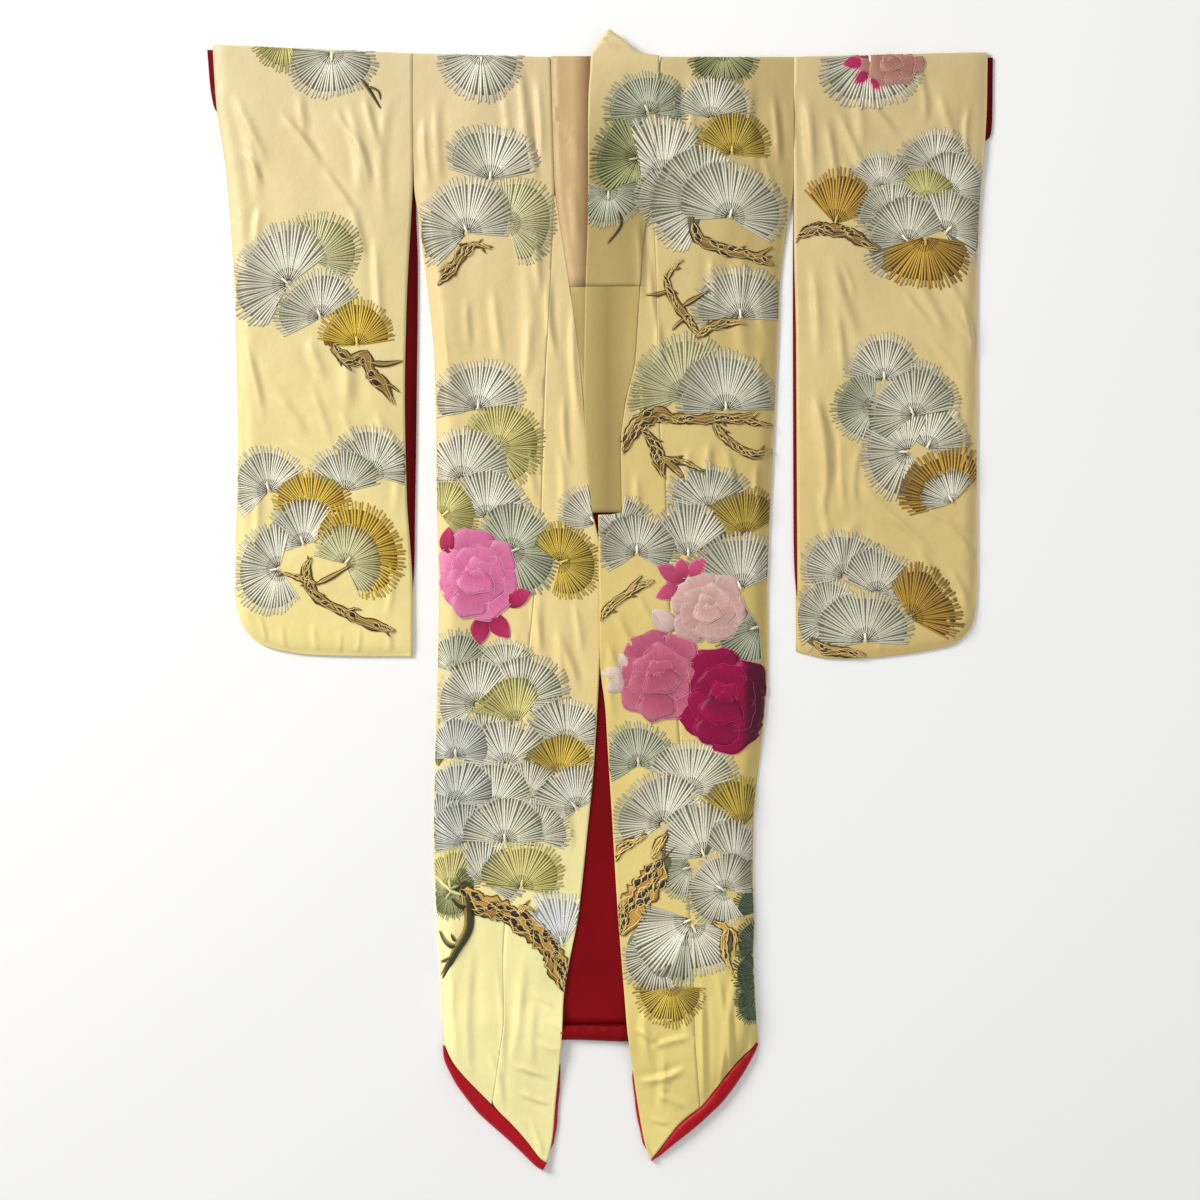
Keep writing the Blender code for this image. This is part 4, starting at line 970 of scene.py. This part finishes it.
panels["frontRight"] = {
    "on": "bodyRight", "owners": {"bodyRight", "overlapRight"},
    "fans": [
        ("silver", -196, 2, 80, 270, 190), ("silver", -181, 214, 94, 88, 150),
        ("paleGreen", -152, 285, 82, 20, 190), ("silver", -219, 301, 92, 112, 230),
        ("silver", -201, 592, 84, 90, 200), ("greenGold", -169, 655, 76, 30, 250),
        ("silver", -228, 709, 88, 95, 210), ("silver", -187, 771, 80, 82, 190),
        ("greenGold", -261, 768, 62, 35, 170), ("greyGreen", -146, 826, 82, 20, 250),
        ("silver", -8, 781, 68, 120, 150), ("oliveGold", -66, 845, 66, 20, 250),
        ("greyGreen", -240, 1025, 68, 70, 190), ("silver", -153, 1028, 58, 100, 190),
        ("silver", -132, 1078, 84, 48, 170), ("silver", -203, 1079, 76, 118, 220),
        ("greenGold", -138, 1110, 78, 125, 150), ("silver", -55, 1140, 74, 90, 200),
        ("oliveGold", -268, 1184, 72, 84, 56), ("silver", -190, 1150, 60, 120, 160),
        ("silver", -155, 1180, 80, 82, 250), ("blueGrey", -238, 1166, 66, 90, 190),
        ("oliveGold", -67, 1194, 68, 90, 190), ("silver", -120, 1230, 60, 60, 150),
        ("silver", -38, 1252, 76, 128, 190), ("silver", -176, 1250, 76, 90, 200),
        ("blueGrey", -237, 1240, 72, 85, 180), ("blueGrey", -262, 1290, 66, 70, 170),
        ("silver", -108, 1300, 62, 80, 200), ("blueGrey", -222, 1310, 70, 100, 190),
        ("silver", -157, 1306, 76, 92, 200), ("silver", -192, 1373, 74, 70, 210),
        ("greenGold", -130, 1382, 78, 82, 185), ("green", -247, 1388, 46, 240, 200),
        ("greenGold", -247, 1382, 66, 96, 84), ("green", -247, 1382, 44, 20, 90),
        ("brightSilver", -62, 1478, 92, 104, 92)],
    "boughs": [
        (18, -202, 318, -224, 330, -238, 352, -268, 388), (9, -218, 318, -196, 322, -176, 324),
        (9, -236, 356, -250, 354, -266, 364),
        (35, -224, 1383, -202, 1408, -167, 1416, -132, 1437, -105, 1458, -77, 1493, -62, 1548),
        (15, -138, 1428, -124, 1412, -108, 1420)],
    "twigs": [
        (16, -219, 1390, -216, 1444, -237, 1486, -261, 1533),
        (9, -228, 1478, -246, 1476, -258, 1466, -266, 1452), (6, -238, 1470, -246, 1456),
        (8, -236, 1490, -252, 1500, -264, 1506), (11, -214, 1412, -232, 1410, -246, 1396)],
    "peonies": [("pink", -203, 868, 134, 160, 0)],
    "leaves": [
        ("rose", -252, 832, 46, 30, 86), ("rose", -197, 934, 46, 32, 268), ("rose", -184, 930, 52, 32, 312),
        ("rose", -160, 912, 50, 32, 22)]}
panels["frontLeft"] = {
    "on": "bodyLeft", "owners": {"bodyLeft", "overlapLeft", "overCollarLeft"},
    "fans": [
        ("green", 204, 0, 62, 270, 190), ("greyGreen", 80, 104, 72, 112, 250),
        ("silver", 184, 112, 73, 74, 185), ("silver", 107, 208, 102, 92, 200),
        ("oliveGold", 218, 171, 73, 90, 190), ("green", 63, 178, 80, 190, 170),
        ("greyGreen", 14, 232, 60, 270, 220), ("silver", 120, 245, 62, 165, 160),
        ("silver", 176, 254, 98, 150, 195), ("silver", 214, 276, 95, 76, 212),
        ("silver", 232, 442, 90, 95, 190), ("paleGreen", 140, 569, 100, 118, 180),
        ("silver", 208, 594, 98, 93, 182), ("silver", 179, 756, 78, 95, 190),
        ("oliveGold", 240, 799, 78, 108, 160), ("silver", 30, 800, 66, 80, 190),
        ("silver", 146, 835, 90, 92, 130), ("silver", 61, 831, 70, 90, 240),
        ("silver", 233, 890, 100, 112, 170), ("greyGreen", 262, 950, 76, 200, 150),
        ("greyGreen", 64, 1180, 70, 95, 230), ("silver", 148, 1222, 86, 62, 170),
        ("silver", 104, 1277, 86, 118, 190), ("oliveGold", 236, 1281, 86, 112, 130),
        ("greyGreen", 150, 1347, 58, 196, 150), ("silver", 173, 1331, 94, 112, 140),
        ("silver", 222, 1344, 76, 66, 150), ("darkGreen", 274, 1420, 56, 110, 160),
        ("darkGreen", 270, 1485, 54, 110, 170), ("darkGreen", 272, 1530, 54, 150, 180),
        ("darkGreen", 262, 1566, 42, 225, 180), ("silver", 205, 1385, 64, 150, 310),
        ("oliveGold", 118, 1543, 66, 246, 220), ("silver", 100, 1488, 70, 216, 170),
        ("silver", 152, 1442, 88, 296, 130), ("greyGreen", 142, 1452, 92, 252, 60),
        ("silver", 151, 1433, 108, 204, 84)],
    "boughs": [
        (18, 153, 283, 162, 309, 193, 324, 222, 333, 250, 338, 288, 353), (8, 236, 338, 262, 336, 285, 323),
        (14, 110, 374, 114, 396, 131, 425, 155, 458, 165, 474), (9, 110, 380, 120, 360, 136, 344),
        (8, 114, 396, 96, 402, 75, 403), (8, 136, 422, 155, 410, 178, 397),
        (7, 146, 438, 132, 448, 119, 461), (14, 165, 471, 184, 456, 208, 449, 238, 449),
        (24, 28, 668, 45, 641, 69, 612, 100, 600, 128, 612),
        (15, 100, 608, 135, 607, 160, 609, 193, 607, 232, 607, 261, 597), (9, 228, 606, 255, 614, 286, 617),
        (22, 75, 628, 90, 652, 98, 678, 104, 704), (15, 98, 668, 118, 684, 138, 704),
        (10, 106, 672, 140, 680, 171, 694), (13, 187, 614, 203, 636, 227, 655, 251, 665, 284, 660),
        (8, 236, 660, 252, 672, 268, 672), (12, 0, 938, 22, 912, 46, 896, 66, 884, 90, 874),
        (8, 40, 899, 56, 880, 70, 866), (15, 24, 1338, 34, 1318, 49, 1308, 74, 1298),
        (18, 106, 1296, 96, 1312, 86, 1334), (46, 100, 1340, 90, 1362, 72, 1388, 52, 1412, 36, 1462),
        (13, 188, 1439, 208, 1449, 204, 1479, 218, 1524), (9, 209, 1446, 222, 1456, 220, 1490)],
    "twigs": [(6, 30, 264, 34, 288, 12, 320)],
    "peonies": [
        ("palePink", 178, 920, 128, 120, 10), ("midPink", 99, 1033, 138, 168, 12),
        ("magenta", 203, 1072, 156, 190, 0)],
    "leaves": [
        ("paleRose", 141, 877, 54, 28, 150), ("paleRose", 142, 876, 52, 28, 50),
        ("paleRose", 135, 872, 34, 26, 92), ("paleRose", 138, 882, 50, 28, 204),
        ("paleLeaf", 122, 958, 50, 36, 134), ("paleLeaf", 48, 1027, 46, 24, 180),
        ("paleLeaf", 46, 1026, 34, 20, 112), ("paleLeaf", 46, 1034, 42, 24, 214)]}
panels["sleeveLeft"] = {
    "on": "sleeveLeft", "owners": {"sleeveLeft"},
    "fans": [
        ("silver", 446, 4, 94, 270, 185), ("silver", 553, 194, 66, 92, 200),
        ("silver", 466, 224, 58, 95, 210), ("silver", 575, 236, 72, 50, 190),
        ("greenGold", 539, 245, 54, 92, 175), ("brownGold", 388, 286, 90, 75, 112),
        ("silver", 483, 277, 62, 110, 210), ("silver", 570, 300, 74, 45, 230),
        ("silver", 509, 315, 76, 135, 230), ("brownGold", 537, 307, 88, 274, 156),
        ("silver", 469, 544, 74, 92, 190), ("silver", 519, 590, 78, 48, 110),
        ("greyGreen", 451, 588, 66, 188, 200), ("silver", 539, 656, 78, 62, 176),
        ("silver", 509, 662, 82, 180, 240), ("silver", 518, 602, 78, 115, 210),
        ("brownGold", 582, 746, 94, 120, 150), ("silver", 582, 746, 56, 120, 150),
        ("silver", 404, 868, 78, 102, 200), ("silver", 457, 896, 76, 70, 180),
        ("silver", 381, 938, 66, 140, 230), ("brownGold", 511, 937, 89, 46, 145),
        ("silver", 438, 976, 88, 92, 190)],
    "boughs": [
        (20, 330, 306, 354, 292, 378, 295, 407, 300, 432, 314, 457, 328), (8, 334, 298, 348, 290, 366, 290),
        (8, 400, 302, 420, 302, 440, 312), (15, 352, 974, 372, 988, 398, 992, 440, 998)],
    "twigs": [],
    "peonies": [("salmon", 480, 18, 116, 84, 20)],
    "leaves": [
        ("rose", 448, 14, 48, 26, 190), ("rose", 446, 30, 36, 24, 225), ("rose", 452, 34, 34, 24, 282)]}

embroidery = {}
for name, panel in panels.items():
    fans, slotName = panel["fans"], clothLooks[panel["on"]][0]
    job = {"owners": panel["owners"], "mounds": newMounds(), "strands": [],
           "rng": random.Random(sum(map(ord, name)))}
    flowers = {**job, "under": fans, "mounds": newMounds(), "strands": []}
    covers = [(across, down, width * 0.4, height * 0.4)
              for kind, across, down, width, height, turn in panel["peonies"]]
    for row in panel["boughs"]:
        covers += [(*place, row[0] * 0.36, row[0] * 0.36) for place in routeThrough(row, boughSizes["step"])]
    for index, fan in enumerate(fans):
        near = [cover for cover in covers if math.dist(cover[:2], fan[1:3]) < fan[3] + max(cover[2:])]
        touching = [math.dist(other[1:3], fan[1:3]) < fan[3] + other[3] for other in fans]
        job["under"] = [other for other, touches in zip(fans[:index], touching) if touches]
        later = [other for other, touches in zip(fans[index + 1:], touching[index + 1:]) if touches]
        fanPad(job, fan)
        fanRibs(job, fan, later, near)
        if not any(inFan(other, *fan[1:3]) for other in later):
            fanStalk(job, fan)
    for kind, across, down, length, width, turn in panel["leaves"]:
        petal(flowers, (across, down), length, width, turn, petalTones[kind], lift=0.9, pointed=True)
    for flower in panel["peonies"]:
        peony(flowers, flower)
    job["under"] = fans
    for row in panel["boughs"]:
        bough(job, row)
    for row in panel["twigs"]:
        twig(job, row)
    sewn = [moundPiece(name + "Padding", job["mounds"], metalThread),
            strandPiece(name + "Needles", job["strands"], metalThread)]
    if flowers["strands"]:
        sewn += [moundPiece(name + "Petals", flowers["mounds"], silkThread),
                 strandPiece(name + "PetalLines", flowers["strands"], silkThread)]
    embroidery[panel["on"]] = sewn
    print("embroidery on", name, len(fans), "fans", [len(piece.data.polygons) for piece in sewn], "faces")

# Lining that shows as a thin red edge beside the lower part of each front
liningEdges = {
    "bodyRight": {"owners": {"overlapRight", "bodyRight"}, "across": -150, "from": 1672,
                  "side": 1, "wide": 4.4},
    "bodyLeft": {"owners": {"overlapLeft", "bodyLeft"}, "across": 20, "from": 1684, "side": -1, "wide": 3.6}}
liningLooks = {"to": 1828, "step": 12, "search": 130, "height": 0.0035, "tone": (0.5, 0.004, 0.008, 1)}
for name, edge in liningEdges.items():
    points, widths = [], []
    for down in np.arange(edge["from"], liningLooks["to"], liningLooks["step"]):
        onCloth = [across for across in np.arange(edge["across"], edge["across"] + liningLooks["search"], 1.0)
                   if groundAt(across, down, edge["owners"]) is not None]
        if not onCloth:
            continue
        rim = max(onCloth) if edge["side"] > 0 else min(onCloth)
        share = (down - edge["from"]) / (liningLooks["to"] - edge["from"])
        points.append((*spot(rim + edge["side"] * edge["wide"] * 0.3, down), liningLooks["height"]))
        widths.append(edge["wide"] * math.sin(math.pi * min(max(share, 0.02), 0.98)) ** 0.5)
    widths[0], widths[-1] = 0, 0
    strand = (points, widths, [liningLooks["tone"]] * len(points))
    embroidery[name].append(strandPiece(name + "LiningEdge", [strand], silks["hemRed"]))

# Floor
floorLooks = {"size": 9, "drop": 0.0004, "grey": 0.93, "roughness": 0.9}
bm = bmesh.new()
bmesh.ops.create_grid(bm, x_segments=2, y_segments=2, size=floorLooks["size"])
bmesh.ops.translate(bm, verts=bm.verts, vec=(0, 0, -floorLooks["drop"]))
floorMesh = bpy.data.meshes.new("floor")
bm.to_mesh(floorMesh)
bm.free()
paleFloor, tree, shader = newMaterial("paleFloor")
setSockets(tree, shader, {"Base Color": (*[floorLooks["grey"]] * 3, 1), "Roughness": floorLooks["roughness"]})
floorMesh.materials.append(paleFloor)
floor = addObject("floor", floorMesh)
